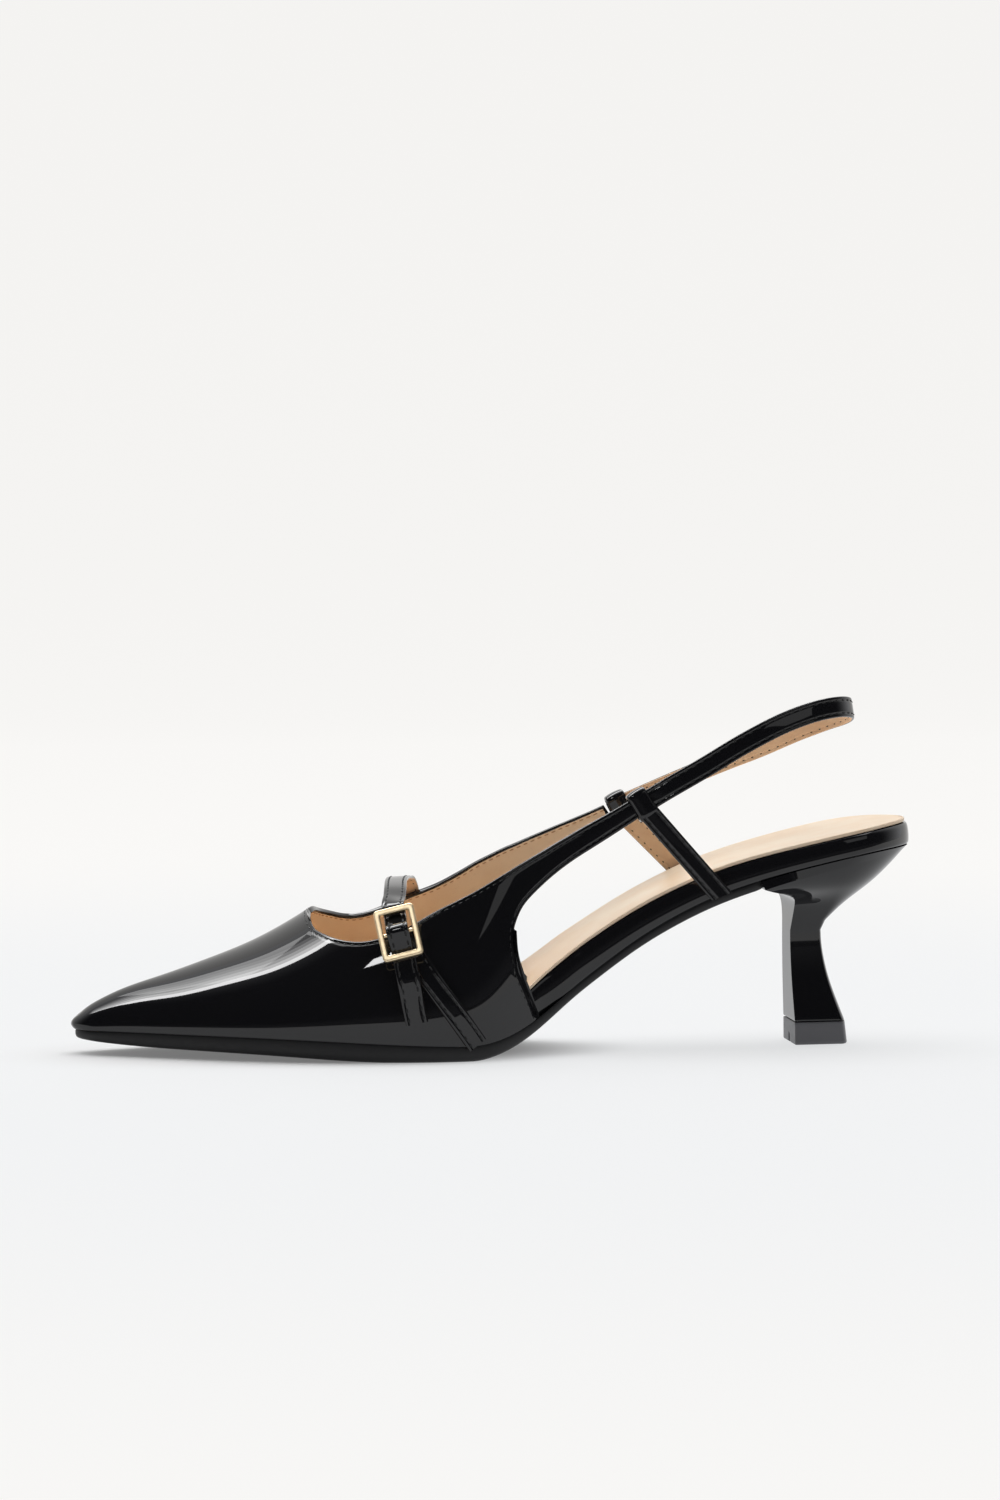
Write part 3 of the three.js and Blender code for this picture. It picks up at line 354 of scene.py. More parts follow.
def smooth_path(stops, per_stop):
    """Centripetal Catmull-Rom curve through the stops: on each stretch a cubic with the tangents that uneven
    spacing by the square root of the distance gives."""
    p = np.asarray(stops, float)
    p = np.concatenate([[2 * p[0] - p[1]], p, [2 * p[-1] - p[-2]]])
    step = np.maximum(np.sqrt(np.linalg.norm(np.diff(p, axis=0), axis=1)), 1e-4)[:, None]
    a, b, c, d = p[:-3], p[1:-2], p[2:-1], p[3:]
    s0, s1, s2 = step[:-2], step[1:-1], step[2:]
    out = ((b - a) / s0 - (c - a) / (s0 + s1) + (c - b) / s1) * s1
    into = ((c - b) / s1 - (d - b) / (s1 + s2) + (d - c) / s2) * s1
    t = (np.arange(per_stop) / per_stop)[None, :, None]
    b, c, out, into = (v[:, None, :] for v in (b, c, out, into))
    curve = b + out * t + (3 * (c - b) - 2 * out - into) * t ** 2 + (2 * (b - c) + out + into) * t ** 3
    return np.concatenate([curve.reshape(-1, 3), p[None, -2]])


def frames(path, faces, shut=False):
    """Directions along, across and out of a strap that follows a path with faces."""
    if shut:
        along = unit(np.roll(path, -1, 0) - np.roll(path, 1, 0))
    else:
        along = unit(np.gradient(path, axis=0))
    across = unit(np.cross(along, faces))
    return along, across, unit(np.cross(across, along))


# Materials


SMOOTH = {"interpolation_type": "SMOOTHSTEP"}


class Wire:
    """A value inside a node tree. Python arithmetic on it adds Math nodes."""

    def __init__(self, tree, socket):
        self.tree = tree
        self.socket = socket

    def math(self, operation, *others):
        return self.tree.node("ShaderNodeMath", {"operation": operation}, self, *others)

    def __add__(self, other):
        return self.math("ADD", other)

    __radd__ = __add__

    def __mul__(self, other):
        return self.math("MULTIPLY", other)

    __rmul__ = __mul__

    def __sub__(self, other):
        return self.math("SUBTRACT", other)

    def __rsub__(self, other):
        return self.tree.node("ShaderNodeMath", {"operation": "SUBTRACT"}, other, self)

    def __truediv__(self, other):
        return self.math("DIVIDE", other)

    def __pow__(self, other):
        return self.math("POWER", other)

    def __neg__(self):
        return self * -1.0

    def above(self, start, end):
        """0 below start, 1 above end, smooth in between."""
        return self.tree.node("ShaderNodeMapRange", SMOOTH, self, start, end, 0.0, 1.0)

    def near(self, place, width):
        """A bell of height 1 round a place: exp(-((value - place) / width)^2)."""
        return (-(((self - place) / width) ** 2.0)).math("EXPONENT")


class Tree:
    """The emptied node tree of a material or a world."""

    def __init__(self, owner):
        owner.use_nodes = True
        self.tree = owner.node_tree
        self.tree.nodes.clear()

    def fill(self, socket, value):
        if isinstance(value, Wire):
            self.tree.links.new(value.socket, socket)
        elif value is not None:
            socket.default_value = value

    def node(self, kind, settings, *values, out=0, **named):
        """Any node: its settings first, then the values or links of its sockets by order or by name."""
        node = self.tree.nodes.new(kind)
        for key, value in settings.items():
            setattr(node, key, value)
        for key, value in list(enumerate(values)) + list(named.items()):
            self.fill(node.inputs[key], value)
        return Wire(self, node.outputs[out])

    def separate(self, vector):
        """The x, y and z of a vector."""
        split = self.node("ShaderNodeSeparateXYZ", {}, vector).socket.node
        return [Wire(self, socket) for socket in split.outputs]


class Paint(Tree):
    """A material with one Principled shader."""

    def __init__(self, name, **constants):
        self.material = bpy.data.materials.new(name)
        super().__init__(self.material)
        self.shader = self.tree.nodes.new("ShaderNodeBsdfPrincipled")
        output = self.tree.nodes.new("ShaderNodeOutputMaterial")
        self.tree.links.new(self.shader.outputs[0], output.inputs[0])
        for key, value in constants.items():
            self.set(key.replace("_", " "), value)
        self.place = self.node("ShaderNodeTexCoord", {}, out="Object")

    def set(self, name, value):
        self.fill(self.shader.inputs[name], value)

    def noise(self, scale, detail=2.0, roughness=0.5):
        return self.node("ShaderNodeTexNoise", {}, Vector=self.place, Scale=scale, Detail=detail,
                         Roughness=roughness, out="Fac")

    def wave(self, scale, distortion, direction="X"):
        return self.node("ShaderNodeTexWave", {"bands_direction": direction}, Vector=self.place, Scale=scale,
                         Distortion=distortion, out="Fac")

    def blend(self, fac, a, b):
        """Colour between a and b, the seventh and eighth sockets of the Mix node."""
        return self.node("ShaderNodeMix", {"data_type": "RGBA"}, fac, *[None] * 5, a, b, out=2)

    def relief(self, height, millimetres, under=None):
        """Bump of a height from 0 to 1 that stands for so many millimetres, over another bump."""
        return self.node("ShaderNodeBump", {}, Height=height, Strength=1.0, Distance=millimetres * MM,
                         Normal=under)


def patent(name, wave=0.08, roughness=0.07):
    """Black patent leather: a clear coat over black, with slow waves, faint orange peel and a groove under
    the seam that follows the free edges where the mesh carries the field edge."""
    paint = Paint(name, Base_Color=(0.0075, 0.0075, 0.009, 1), Coat_Weight=1.0, Coat_Roughness=0.03,
                  Specular_IOR_Level=0.0)
    waves = paint.relief(paint.noise(55, 2), wave)
    peel = paint.relief(paint.noise(900, 2), 0.004, waves)
    edge_line = paint.node("ShaderNodeAttribute", {"attribute_name": "edge"}, out="Fac")
    groove = edge_line.near(1.3, 0.3) * edge_line.above(0.2, 0.6)
    paint.set("Normal", paint.relief(1.0 - groove, 0.14, peel))
    paint.set("Roughness", roughness + 0.05 * paint.noise(300, 3).above(0.5, 0.8))
    return paint.material


def kid(name, deep, light, roughness, grain=0.03):
    """Smooth lining leather: fine grain, faint clouds of colour and small pores."""
    paint = Paint(name, Roughness=roughness, Specular_IOR_Level=0.35)
    clouds = paint.noise(60, 4, 0.6)
    fine = paint.noise(1800, 3, 0.6)
    pores = paint.node("ShaderNodeTexVoronoi", {}, Vector=paint.place, Scale=1500, out="Distance")
    base = paint.blend(clouds.above(0.35, 0.7), deep, light)
    dark = tuple(c * 0.86 for c in deep[:3]) + (1,)
    paint.set("Base Color", paint.blend(fine.above(0.58, 0.75) * 0.5, base, dark))
    paint.set("Normal", paint.relief(fine * 0.6 + pores.above(0.0, 0.35) * 0.4, grain))
    return paint.material


def speckled(name, rough, spread, rough_scale, bump_scale, bump, bump_detail=3, **constants):
    """A plain finish whose roughness is rough + spread * noise, with a fine bump."""
    paint = Paint(name, **constants)
    paint.set("Roughness", rough + spread * paint.noise(rough_scale, 3))
    paint.set("Normal", paint.relief(paint.noise(bump_scale, bump_detail), bump))
    return paint.material


black_patent = patent("Black_patent_leather")
strap_patent = patent("Strap_patent_leather", 0.02)
rand_patent = patent("Rand_patent_leather", 0.03, 0.1)
heel_patent = patent("Heel_cover_leather", 0.035)
# Painted light: the upper's lining is a lighter copy of the straps' lining leather, making up for the shade
# inside the shoe
lining = kid("Lining_leather", (0.94, 0.70, 0.48, 1), (0.98, 0.77, 0.55, 1), 0.5)
strap_lining = kid("Strap_lining_leather", (0.86, 0.56, 0.34, 1), (0.95, 0.69, 0.46, 1), 0.5, 0.05)
sock_leather = kid("Insole_leather", (0.92, 0.71, 0.50, 1), (0.95, 0.79, 0.60, 1), 0.38, 0.02)
sole_rubber = speckled("Sole_rubber", 0.32, 0.2, 500, 700, 0.03, Base_Color=(0.007, 0.007, 0.008, 1),
                       Specular_IOR_Level=0.35)
tip_rubber = speckled("Tip_rubber", 0.36, 0.15, 600, 900, 0.02, Base_Color=(0.13, 0.13, 0.14, 1))
gold = speckled("Pale_gold", 0.26, 0.1, 700, 260, 0.01, 2, Base_Color=(1.0, 0.81, 0.53, 1), Metallic=1.0)
thread_paint = Paint("Black_thread", Base_Color=(0.006, 0.006, 0.007, 1), Roughness=0.55)
thread_paint.set("Normal", thread_paint.relief(thread_paint.wave(2200.0, 0.0, "DIAGONAL"), 0.05))
thread = thread_paint.material
pale_thread = Paint("Pale_thread", Base_Color=(0.62, 0.37, 0.21, 1), Roughness=0.6).material
# Painted shade: flat black for the dark inside of the punched hole, which is not cut
hole_shade_paint = Paint("Painted_hole_shade", Base_Color=(0.001, 0.001, 0.001, 1), Roughness=0.8).material
web_paint = Paint("Elastic_web", Base_Color=(0.012, 0.012, 0.013, 1), Roughness=0.8)
web_paint.set("Normal", web_paint.relief(web_paint.wave(900.0, 1.0), 0.15))
web = web_paint.material

# The upper


def rib_shares(side, ribs, close, middle):
    """For each rib the shares along it whose rows lie close to both of its ends and evenly in between."""
    t = np.linspace(0, 1, 41)[None, :]
    at, up = side_field(side, ribs[:, None], t)
    length = np.linalg.norm(np.diff(last(side, at, up), axis=1), axis=2).sum(1)
    near = np.asarray(close)[None, :] * np.minimum(1, length / (2.4 * close[-1]))[:, None] / length[:, None]
    inner = np.linspace(0, 1, middle + 2)[None, 1:-1]
    between = near[:, -1:] + (1 - 2 * near[:, -1:]) * inner
    return np.concatenate([near, between, 1 - near[:, ::-1]], 1)


CLOSE = [0, 0.05, 0.12, 0.22, 0.36, 0.6, 0.9, 1.1, 1.3, 1.5, 1.75, 2.2, 2.8]
RIB_STEPS = np.unique(np.concatenate([
    np.linspace(0, 1, 15) ** 1.8, np.linspace(1, LAST_RIB, LAST_RIB * 6 - 5)]))
THROAT_STEPS = np.unique(np.concatenate([np.linspace(0, 0.06, 9), np.linspace(0.06, 0.955, 80),
                                         1 - np.array(CLOSE) / 70]))


def upper_base():
    """The outer surface of the upper as welded points, quads and normals."""
    grids, quads = [], []
    start = 0
    for side in (0, 1):
        shares = rib_shares(side, RIB_STEPS, CLOSE, 26)
        first = rib_shares(0, RIB_STEPS[:1], CLOSE, 26)
        shares[0] = first[0]
        at, up = vamp_field(THROAT_STEPS[:, None], first)
        vamp = last(side, at, up)
        at, up = side_field(side, RIB_STEPS[:, None], shares)
        walls = last(side, at, up)
        for grid in (vamp, walls):
            faces = np.array(grid_faces(*grid.shape[:2], start=start))
            quads.append(faces if side == 0 else faces[:, ::-1])
            grids.append(grid.reshape(-1, 3))
            start += len(grids[-1])
    points = np.concatenate(grids)
    rounded = np.round(points + 1.234e-5, 4)
    _, first_of, same = np.unique(rounded, axis=0, return_index=True, return_inverse=True)
    quads = same.ravel()[np.concatenate(quads)]
    points = points[first_of]
    diagonal = np.cross(points[quads[:, 2]] - points[quads[:, 0]], points[quads[:, 3]] - points[quads[:, 1]])
    normals = np.zeros_like(points)
    for k in range(4):
        np.add.at(normals, quads[:, k], diagonal)
    return points, quads, unit(normals)


def top_line(side, ribs):
    _, _, top_at, top_turn = rib_lines[side](ribs)
    up = np.sin(top_turn)
    return last(side, top_at, up), last_normal(side, top_at, np.minimum(up, 0.9995))


def foot_line(side, ribs):
    foot_at, foot_turn, _, _ = rib_lines[side](ribs)
    up = np.sin(foot_turn)
    return last(side, foot_at, up), last_normal(side, foot_at, np.maximum(up, 0.001))


def distance_to(points, line):
    """Least distance of each point from the polyline."""
    a, d = line[:-1], np.diff(line, axis=0)
    size = np.maximum((d * d).sum(1), 1e-12)
    parts = []
    for some in np.array_split(points, max(1, len(points) // 1500)):
        gap = some[:, None, :] - a[None]
        t = np.clip((gap * d).sum(2) / size, 0, 1)
        parts.append(np.linalg.norm(gap - t[..., None] * d, axis=2).min(1))
    return np.concatenate(parts)


def drop(edge_distance, radius):
    """How far a rounded edge lies under the surface: a quarter circle of the radius."""
    inside = np.clip(radius - edge_distance, 0, radius)
    return radius - np.sqrt(radius * radius - inside * inside)


surface, surface_quads, surface_normals = upper_base()
fine_ribs = np.unique(np.concatenate([np.linspace(0, 2, 41), np.linspace(2, LAST_RIB, 200)]))
rear_ribs = np.linspace(QUARTER_FOOT, LAST_RIB, 120)
throat_line = np.concatenate([top_line(0, fine_ribs[::-1])[0], top_line(1, fine_ribs[1:])[0]])
throat_normals = np.concatenate([top_line(0, fine_ribs[::-1])[1], top_line(1, fine_ribs[1:])[1]])
free_edges = [throat_line] + [foot_line(side, rear_ribs)[0] for side in (0, 1)]
for side in (0, 1):
    band_end = np.array([LAST_RIB])
    free_edges.append(np.concatenate([foot_line(side, band_end)[0], top_line(side, band_end)[0]]))
feather_line = np.concatenate([
    last(0, np.linspace(QUARTER_END, 0, 240), 0), last(1, np.linspace(0, QUARTER_END + 2, 240), 0)])
free_distance = np.min([distance_to(surface, line) for line in free_edges], axis=0)
foot_distance = distance_to(surface, feather_line)


def shell(name, outer, inner, material, slot_name, inset=0.0):
    """A closed wall between two offsets of the upper's surface along its normals, that keeps inset
    millimetres away from the free edges."""
    quads = surface_quads[free_distance[surface_quads].min(1) >= inset]
    directed = np.concatenate([quads[:, [k, (k + 1) % 4]] for k in range(4)])
    known = set(map(tuple, directed[directed[:, 0] != directed[:, 1]].tolist()))
    border = np.array([pair for pair in known if pair[::-1] not in known])
    points = np.concatenate([surface + surface_normals * offset[:, None] for offset in (outer, inner)])
    count = len(surface)
    rim = np.stack([border[:, 1], border[:, 0], border[:, 0] + count, border[:, 1] + count], 1)
    faces = np.concatenate([quads, quads[:, ::-1] + count, rim])
    faces = [list(dict.fromkeys(face)) for face in faces.tolist()]
    faces = [face for face in faces if len(face) > 2]
    fields = {"edge": np.concatenate([free_distance, free_distance])}
    return finish_piece(name, points, faces, material, slot_name, ("upper",), 42, fields=fields)


SKIN = WALL - LINING
EDGE_ROUND = 0.55
FEATHER_ROUND = 0.4
TURNED_EDGE = 0.9              # the skin is turned in round the free edges, as thick as the wall there
LINING_INSET = 0.3
SEAM_INSET = 1.3
LINING_SEAM_INSET = 1.5
seam_dip = 0.13 * np.exp(-((free_distance - SEAM_INSET) / 0.25) ** 2) * (foot_distance > 1.5)
skin_top = -drop(free_distance, EDGE_ROUND) - drop(foot_distance, FEATHER_ROUND) - seam_dip
turned = mix(WALL + 0.08, SKIN, ease((free_distance - TURNED_EDGE) / 0.15))
shell("Upper_patent_skin", skin_top, drop(free_distance, EDGE_ROUND) - turned, black_patent, "patent_leather")
lining_fold = 0.1 * np.exp(-((free_distance - LINING_SEAM_INSET) / 0.3) ** 2)
lining_depth = mix(SKIN + 0.05, WALL, ease((free_distance - TURNED_EDGE + LINING_INSET) / 0.15))
shell("Upper_lining", np.full(len(surface), -SKIN - 0.03), lining_fold - lining_depth, lining,
      "lining_leather", LINING_INSET)

# Stitches


def stitches(name, line, out, pitch, length, radius, node, slot_name="strap_leather", finish=thread):
    """Short round stitches along a line. Each is a capsule: its radius follows sqrt(1 - u^4) along its
    length, and its middle arches out of the leather while its ends dive into it."""
    step = np.linalg.norm(np.diff(line, axis=0), axis=1)
    way = np.concatenate([[0], np.cumsum(step)])
    count = max(1, int(way[-1] / pitch))
    places = (np.arange(count) + 0.5) * way[-1] / count

    def sample(values, at):
        return np.stack([np.interp(at, way, values[:, k]) for k in range(3)], 1)

    middle = sample(line, places)
    along = unit(sample(line, places + 0.4) - sample(line, places - 0.4))
    normal = unit(sample(out, places))
    across = unit(np.cross(normal, along))
    normal = unit(np.cross(along, across))
    u = np.linspace(-1, 1, 9)
    turn = np.arange(8) * math.tau / 8
    thick = radius * np.sqrt(np.clip(1 - u ** 4, 0.004, 1))
    x = (u * length / 2)[:, None] + 0 * turn
    y = thick[:, None] * np.cos(turn)
    z = thick[:, None] * np.sin(turn) - radius * 0.15 - (0.9 * radius * u ** 2)[:, None]
    block = middle[:, None, None]
    for offset, direction in ((x, along), (y, across), (z, normal)):
        block = block + offset[..., None] * direction[:, None, None]
    points = block.reshape(-1, 3)
    each = len(u) * len(turn)
    faces = sum((tube_faces(len(u), len(turn), start=k * each) for k in range(count)), [])
    flip = not outward(points[:each], tube_faces(len(u), len(turn)))
    return finish_piece(name, points, faces, finish, slot_name, (node,), 80, flip)


def seam_inside(line, normals, inset, sign):
    """A line inset along the surface from an edge line. sign chooses the side."""
    along = unit(np.gradient(line, axis=0))
    return line + unit(np.cross(normals, along)) * sign * inset


UPPER_STITCH = (2.35, 1.75, 0.24)                    # pitch, length, radius
for key, inset, lift, look, finish in (
        ("Topline_stitches", SEAM_INSET, -0.1, 1, thread),
        ("Topline_lining_stitches", LINING_SEAM_INSET, -WALL + 0.05, -1, pale_thread)):
    seam = seam_inside(throat_line, throat_normals, inset, 1)
    stitches(key, seam + throat_normals * lift, throat_normals * look, *UPPER_STITCH, "upper",
             "patent_leather", finish)
for side, key in enumerate(("Outer_quarter_stitches", "Inner_quarter_stitches")):
    rear_line, rear_normal = foot_line(side, rear_ribs)
    seam = seam_inside(rear_line, rear_normal, SEAM_INSET, -SIGN[side])
    stitches(key, seam - rear_normal * 0.1, rear_normal, *UPPER_STITCH, "upper", "patent_leather")

# Straps: a patent band over a lining band
STRAP_SEAM = 1.2


def strap_profile(half, low, high, top_round, bottom_round, crown=0.0, groove=0.0):
    """Closed section of a band as places across and out: a flat band with rounded edges, a slight crown and a
    groove under each seam."""
    inset = np.array([
        0, 0.02, 0.07, 0.15, 0.26, 0.42, 0.65, 0.85, 1.0, 1.1, 1.2, 1.3, 1.4, 1.55, 1.8, 2.2, 2.7])
    inset = inset[inset < half - 0.2]
    a = np.concatenate([-half + inset, [0.0], (half - inset)[::-1]])
    in_from_edge = half - np.abs(a)
    dip = groove * np.exp(-((in_from_edge - STRAP_SEAM) / 0.28) ** 2)
    top = high + crown * (1 - (a / half) ** 2) - drop(in_from_edge, top_round) - dip
    bottom = low + drop(in_from_edge, bottom_round) + (dip if bottom_round > top_round else 0)
    return np.concatenate([a, a[::-1]]), np.concatenate([bottom, top[::-1]])


def sweep(path, faces, profile, shut=False, slant=0.0):
    """The profile carried along the path: point = path + a * across + b * out. The end may be cut askew."""
    along, across, out = frames(path, faces, shut)
    a, b = profile
    sections = path[:, None] + a[None, :, None] * across[:, None] + b[None, :, None] * out[:, None]
    near = np.clip(1 - np.linalg.norm(path - path[-1], axis=1) / 3, 0, 1)[:, None, None]
    return sections + near * slant * (a / np.abs(a).max())[None, :, None] * along[:, None]


def strap(name, path, faces, width, thick, node, slant=0.0, pitch=2.9):
    """The two bands, long stitches at both edges of the outside and short ones opposite them."""
    half, split = width / 2, 0.08 * thick
    outer = strap_profile(half, -split, thick / 2, 0.42, 0.0, 0.05, 0.16)
    inner = strap_profile(half - 0.08, -thick / 2, -split - 0.02, 0.0, 0.3, 0.0, 0.1)
    for key, profile, material, slot_name in (
            (name, outer, strap_patent, "strap_leather"),
            (name + "_lining", inner, strap_lining, "lining_leather")):
        closed_piece(key, sweep(path, faces, profile, slant=slant), material, slot_name, (node,), False, 42)
    _, across, out = frames(path, faces)
    for mark, a in (("front", half - STRAP_SEAM), ("back", STRAP_SEAM - half)):
        row = path + across * a
        stitches(f"{name}_stitches_{mark}", row + out * (thick / 2 - 0.1), out, pitch, 2.0, 0.32, node)
        stitches(f"{name}_under_{mark}", row - out * (thick / 2 - 0.06), -out, pitch, 0.8, 0.17, node)


def on_upper(side, share_at, share_up, lift):
    at = share_at * LENGTH
    up = share_up * SIDE_HEIGHT / ridge(at)
    face = last_normal(side, at, up)
    return last(side, at, up) + face * lift, face


class End:
    """Middle of the band's end on one side, the way it runs there, its face and its width."""

    def __init__(self, side):
        rows = RIBS[side]
        (low_before, high_before), (low, high) = (
            [on_upper(side, row[k], row[k + 1], -WALL / 2) for k in (0, 2)] for row in rows[-2:])
        self.place = (low[0] + high[0]) / 2
        self.along = unit(self.place - (low_before[0] + high_before[0]) / 2)
        self.face = unit(low[1] + high[1])
        self.width = np.linalg.norm(high[0] - low[0])


ends = [End(0), End(1)]

# Sling from the outer loop round the back to the inner loop: shares of the reach, of the half width and of
# the rise
SLING_RUN = np.array([
    [0.09, -0.97, 0.135], [0.27, -1.00, 0.385], [0.46, -1.00, 0.655], [0.64, -0.93, 0.865],
    [0.80, -0.77, 0.985], [0.92, -0.54, 1.020], [0.985, -0.26, 1.000], [1.00, 0.00, 0.955],
    [0.985, 0.26, 0.905], [0.92, 0.54, 0.830], [0.80, 0.77, 0.700], [0.64, 0.93, 0.520],
    [0.46, 1.00, 0.350], [0.27, 1.00, 0.165],
])
SLING_GAP = 7.0
start = ends[0].place + ends[0].along * 2 * GAP
sling_stops = [start]
sling_faces = [ends[0].face]
for reach, half, rise in SLING_RUN:
    sling_stops.append(np.array([
        start[0] + reach * SLING_REACH, half * SLING_WIDTH, start[2] + rise * SLING_RISE]))
    turned = ease((reach - 0.5) / 0.5) * (1 - abs(half)) * 1.4
    sling_faces.append(unit(np.array([turned, half, 0.16])))
sling_stops.append(ends[1].place + ends[1].along * SLING_GAP)
sling_faces.append(ends[1].face)
SLING_BAND = STRAP_WIDTH - 0.4
strap("Sling", smooth_path(sling_stops, 18), unit(smooth_path(sling_faces, 18)), SLING_BAND, STRAP_THICK,
      "sling_strap")

elastic_way = np.linspace(2 * GAP, SLING_GAP - 2 * GAP, 12)[:, None] * ends[1].along + ends[1].place
elastic_half = (STRAP_WIDTH - 1.6) / 2
elastic_thick = STRAP_THICK - 0.4
closed_piece("Elastic", sweep(elastic_way, np.repeat(ends[1].face[None], 12, 0),
                              strap_profile(elastic_half, -elastic_thick / 2, elastic_thick / 2, 0.2, 0.2)),
             web, "elastic_web", ("elastic",))


def rounded_loop(half_wide, half_high, radius, corner=10, straight=12):
    """Closed line round a rounded rectangle, counter-clockwise, with the same count for every size."""
    radius = min(radius, half_wide, half_high)
    turn = np.linspace(0, math.pi / 2, corner)
    arc = radius * np.stack([np.cos(turn), np.sin(turn)], 1)
    corners = [(half_wide - radius, half_high - radius), (-half_wide + radius, half_high - radius),
               (-half_wide + radius, -half_high + radius), (half_wide - radius, -half_high + radius)]
    pieces = []
    for k, middle in enumerate(corners):
        c, s = (1, 0, -1, 0)[k], (0, 1, 0, -1)[k]
        pieces.append(np.array(middle) + arc @ np.array([[c, s], [-s, c]]))
    line = []
    for k in range(4):
        line.append(pieces[k])
        a, b = pieces[k][-1], pieces[(k + 1) % 4][0]
        line.append(a + (b - a) * np.linspace(0, 1, straight + 2)[1:-1, None])
    return np.concatenate(line)


def stay(side, shift, foot_share, node):
    """A keeper round the band, and a strap from it down to the rand."""
    end = ends[side]
    middle = end.place + end.along * shift
    across = unit(np.cross(end.face, end.along))
    across = -across if across[2] > 0 else across
    inner_wide = max(end.width, SLING_BAND) / 2 + GAP + 0.1
    inner_deep = max(WALL, STRAP_THICK) / 2 + GAP + 0.15
    ring = rounded_loop(inner_wide + LOOP_WALL / 2, inner_deep + STAY_THICK / 2, 1.1)
    outline = middle + ring[:, :1] * across + ring[:, 1:] * end.face
    facing = unit(np.cross(end.along, np.roll(outline, -1, 0) - np.roll(outline, 1, 0)))
    facing *= np.sign(((outline - middle) * facing).sum(1).mean())
    name = ("Lateral", "Medial")[side]
    half = STAY_WIDTH / 2
    keeper = strap_profile(half, -LOOP_WALL / 2, LOOP_WALL / 2, 0.6, 0.2, 0.35)
    closed_piece(name + "_keeper", sweep(outline, facing, keeper, True), strap_patent, "strap_leather",
                 (node,), True)
    sign = SIGN[side]
    foot_x = foot_share * LENGTH
    reach = plan_half[side](foot_x) + FEATHER_MARGIN + GAP + STAY_THICK / 2 + 0.15
    low = np.array([foot_x, sign * reach, feather(foot_x) - 0.3])
    high = middle + end.face * (inner_deep + STAY_THICK / 2) + across * inner_wide * 0.5
    t = np.linspace(0, 1, 48)[:, None]
    path = mix(high, low, t)
    faces = unit(mix(end.face, np.array([0, sign, 0.0]), ease(t * 1.6)))
    fall = unit(low - high)
    run = unit(np.array([2, 0, feather(foot_x + 1) - feather(foot_x - 1)]))
    slant = sign * half * (run @ fall) / np.linalg.norm(np.cross(run, fall))
    strap(name + "_stay", path, faces, STAY_WIDTH, STAY_THICK, node, slant=slant, pitch=2.6)


stay(0, -0.2, 0.7580, "stay_lateral")
stay(1, 4.0, 0.7560, "stay_medial")

# Buckle on the outer side
BUCKLE_UP = unit(np.array([-0.15, 0.46, 0.875]))
buckle_middle, buckle_look = on_upper(0, 0.3748, 0.628, 5.15)
buckle_face = unit(buckle_look - BUCKLE_UP * (buckle_look @ BUCKLE_UP))
buckle_side = unit(np.cross(BUCKLE_UP, buckle_face))


def at_buckle(along, out):
    return buckle_middle + BUCKLE_UP * along + buckle_face * out


def round_bar(angles):
    """Directions round the buckle's bar, one row for each angle from straight up."""
    return np.cos(angles)[:, None] * BUCKLE_UP + np.sin(angles)[:, None] * buckle_face


outer_line = rounded_loop(BUCKLE_WIDTH / 2, BUCKLE_LENGTH / 2, 1.3)
inner_line = rounded_loop(BUCKLE_WIDTH / 2 - BUCKLE_BAR, BUCKLE_LENGTH / 2 - BUCKLE_BAR, 0.45)
BUCKLE_BEVEL = 0.34
ring = rounded_loop(BUCKLE_BAR / 2, BUCKLE_DEPTH / 2, BUCKLE_BEVEL, 6, 1)
share = ring[:, 0] / BUCKLE_BAR + 0.5
flat = inner_line[:, None] * (1 - share)[None, :, None] + outer_line[:, None] * share[None, :, None]
frame_points = (buckle_middle + flat[..., :1] * buckle_side + flat[..., 1:] * BUCKLE_UP
                + ring[None, :, 1:] * buckle_face)
closed_piece("Buckle_frame", frame_points, gold, "buckle_metal", ("buckle",), True, 50)
bar_way = np.linspace(-1, 1, 6) * (BUCKLE_WIDTH / 2 - 0.6 * BUCKLE_BAR)
bar_rim = BAR_RADIUS * round_bar(np.arange(24) * math.tau / 24)
bar = buckle_middle + bar_way[:, None, None] * buckle_side + bar_rim
closed_piece("Buckle_bar", bar, gold, "buckle_metal", ("buckle",))

BUCKLE_STAY_THICK = STAY_THICK * 0.8
EYE_INNER = BAR_RADIUS + 0.25
EYE_OUTER = EYE_INNER + BUCKLE_STAY_THICK
eye_middle = (EYE_INNER + EYE_OUTER) / 2
stay_lift = GAP + STAY_THICK / 2
buckle_stops = [on_upper(0, 0.4600, 0.012, stay_lift), on_upper(0, 0.4360, 0.190, stay_lift + 0.1),
                on_upper(0, 0.4070, 0.395, stay_lift + 0.15), on_upper(0, 0.3845, 0.565, stay_lift + 0.05),
                (at_buckle(-1.8, -eye_middle), buckle_face), (at_buckle(0, -eye_middle), buckle_face)]
strap("Buckle_stay", smooth_path([place for place, _ in buckle_stops], 20),
      unit(smooth_path([face for _, face in buckle_stops], 20)), STAY_WIDTH, BUCKLE_STAY_THICK, "buckle_stay",
      pitch=2.6)
eye_out = round_bar(np.linspace(-math.pi / 2, math.pi, 40))
eye_profile = strap_profile(STAY_WIDTH / 2, -BUCKLE_STAY_THICK / 2, BUCKLE_STAY_THICK / 2, 0.3, 0.3)
closed_piece("Buckle_stay_fold", sweep(buckle_middle + eye_middle * eye_out, eye_out, eye_profile),
             strap_patent, "strap_leather", ("buckle_stay",))

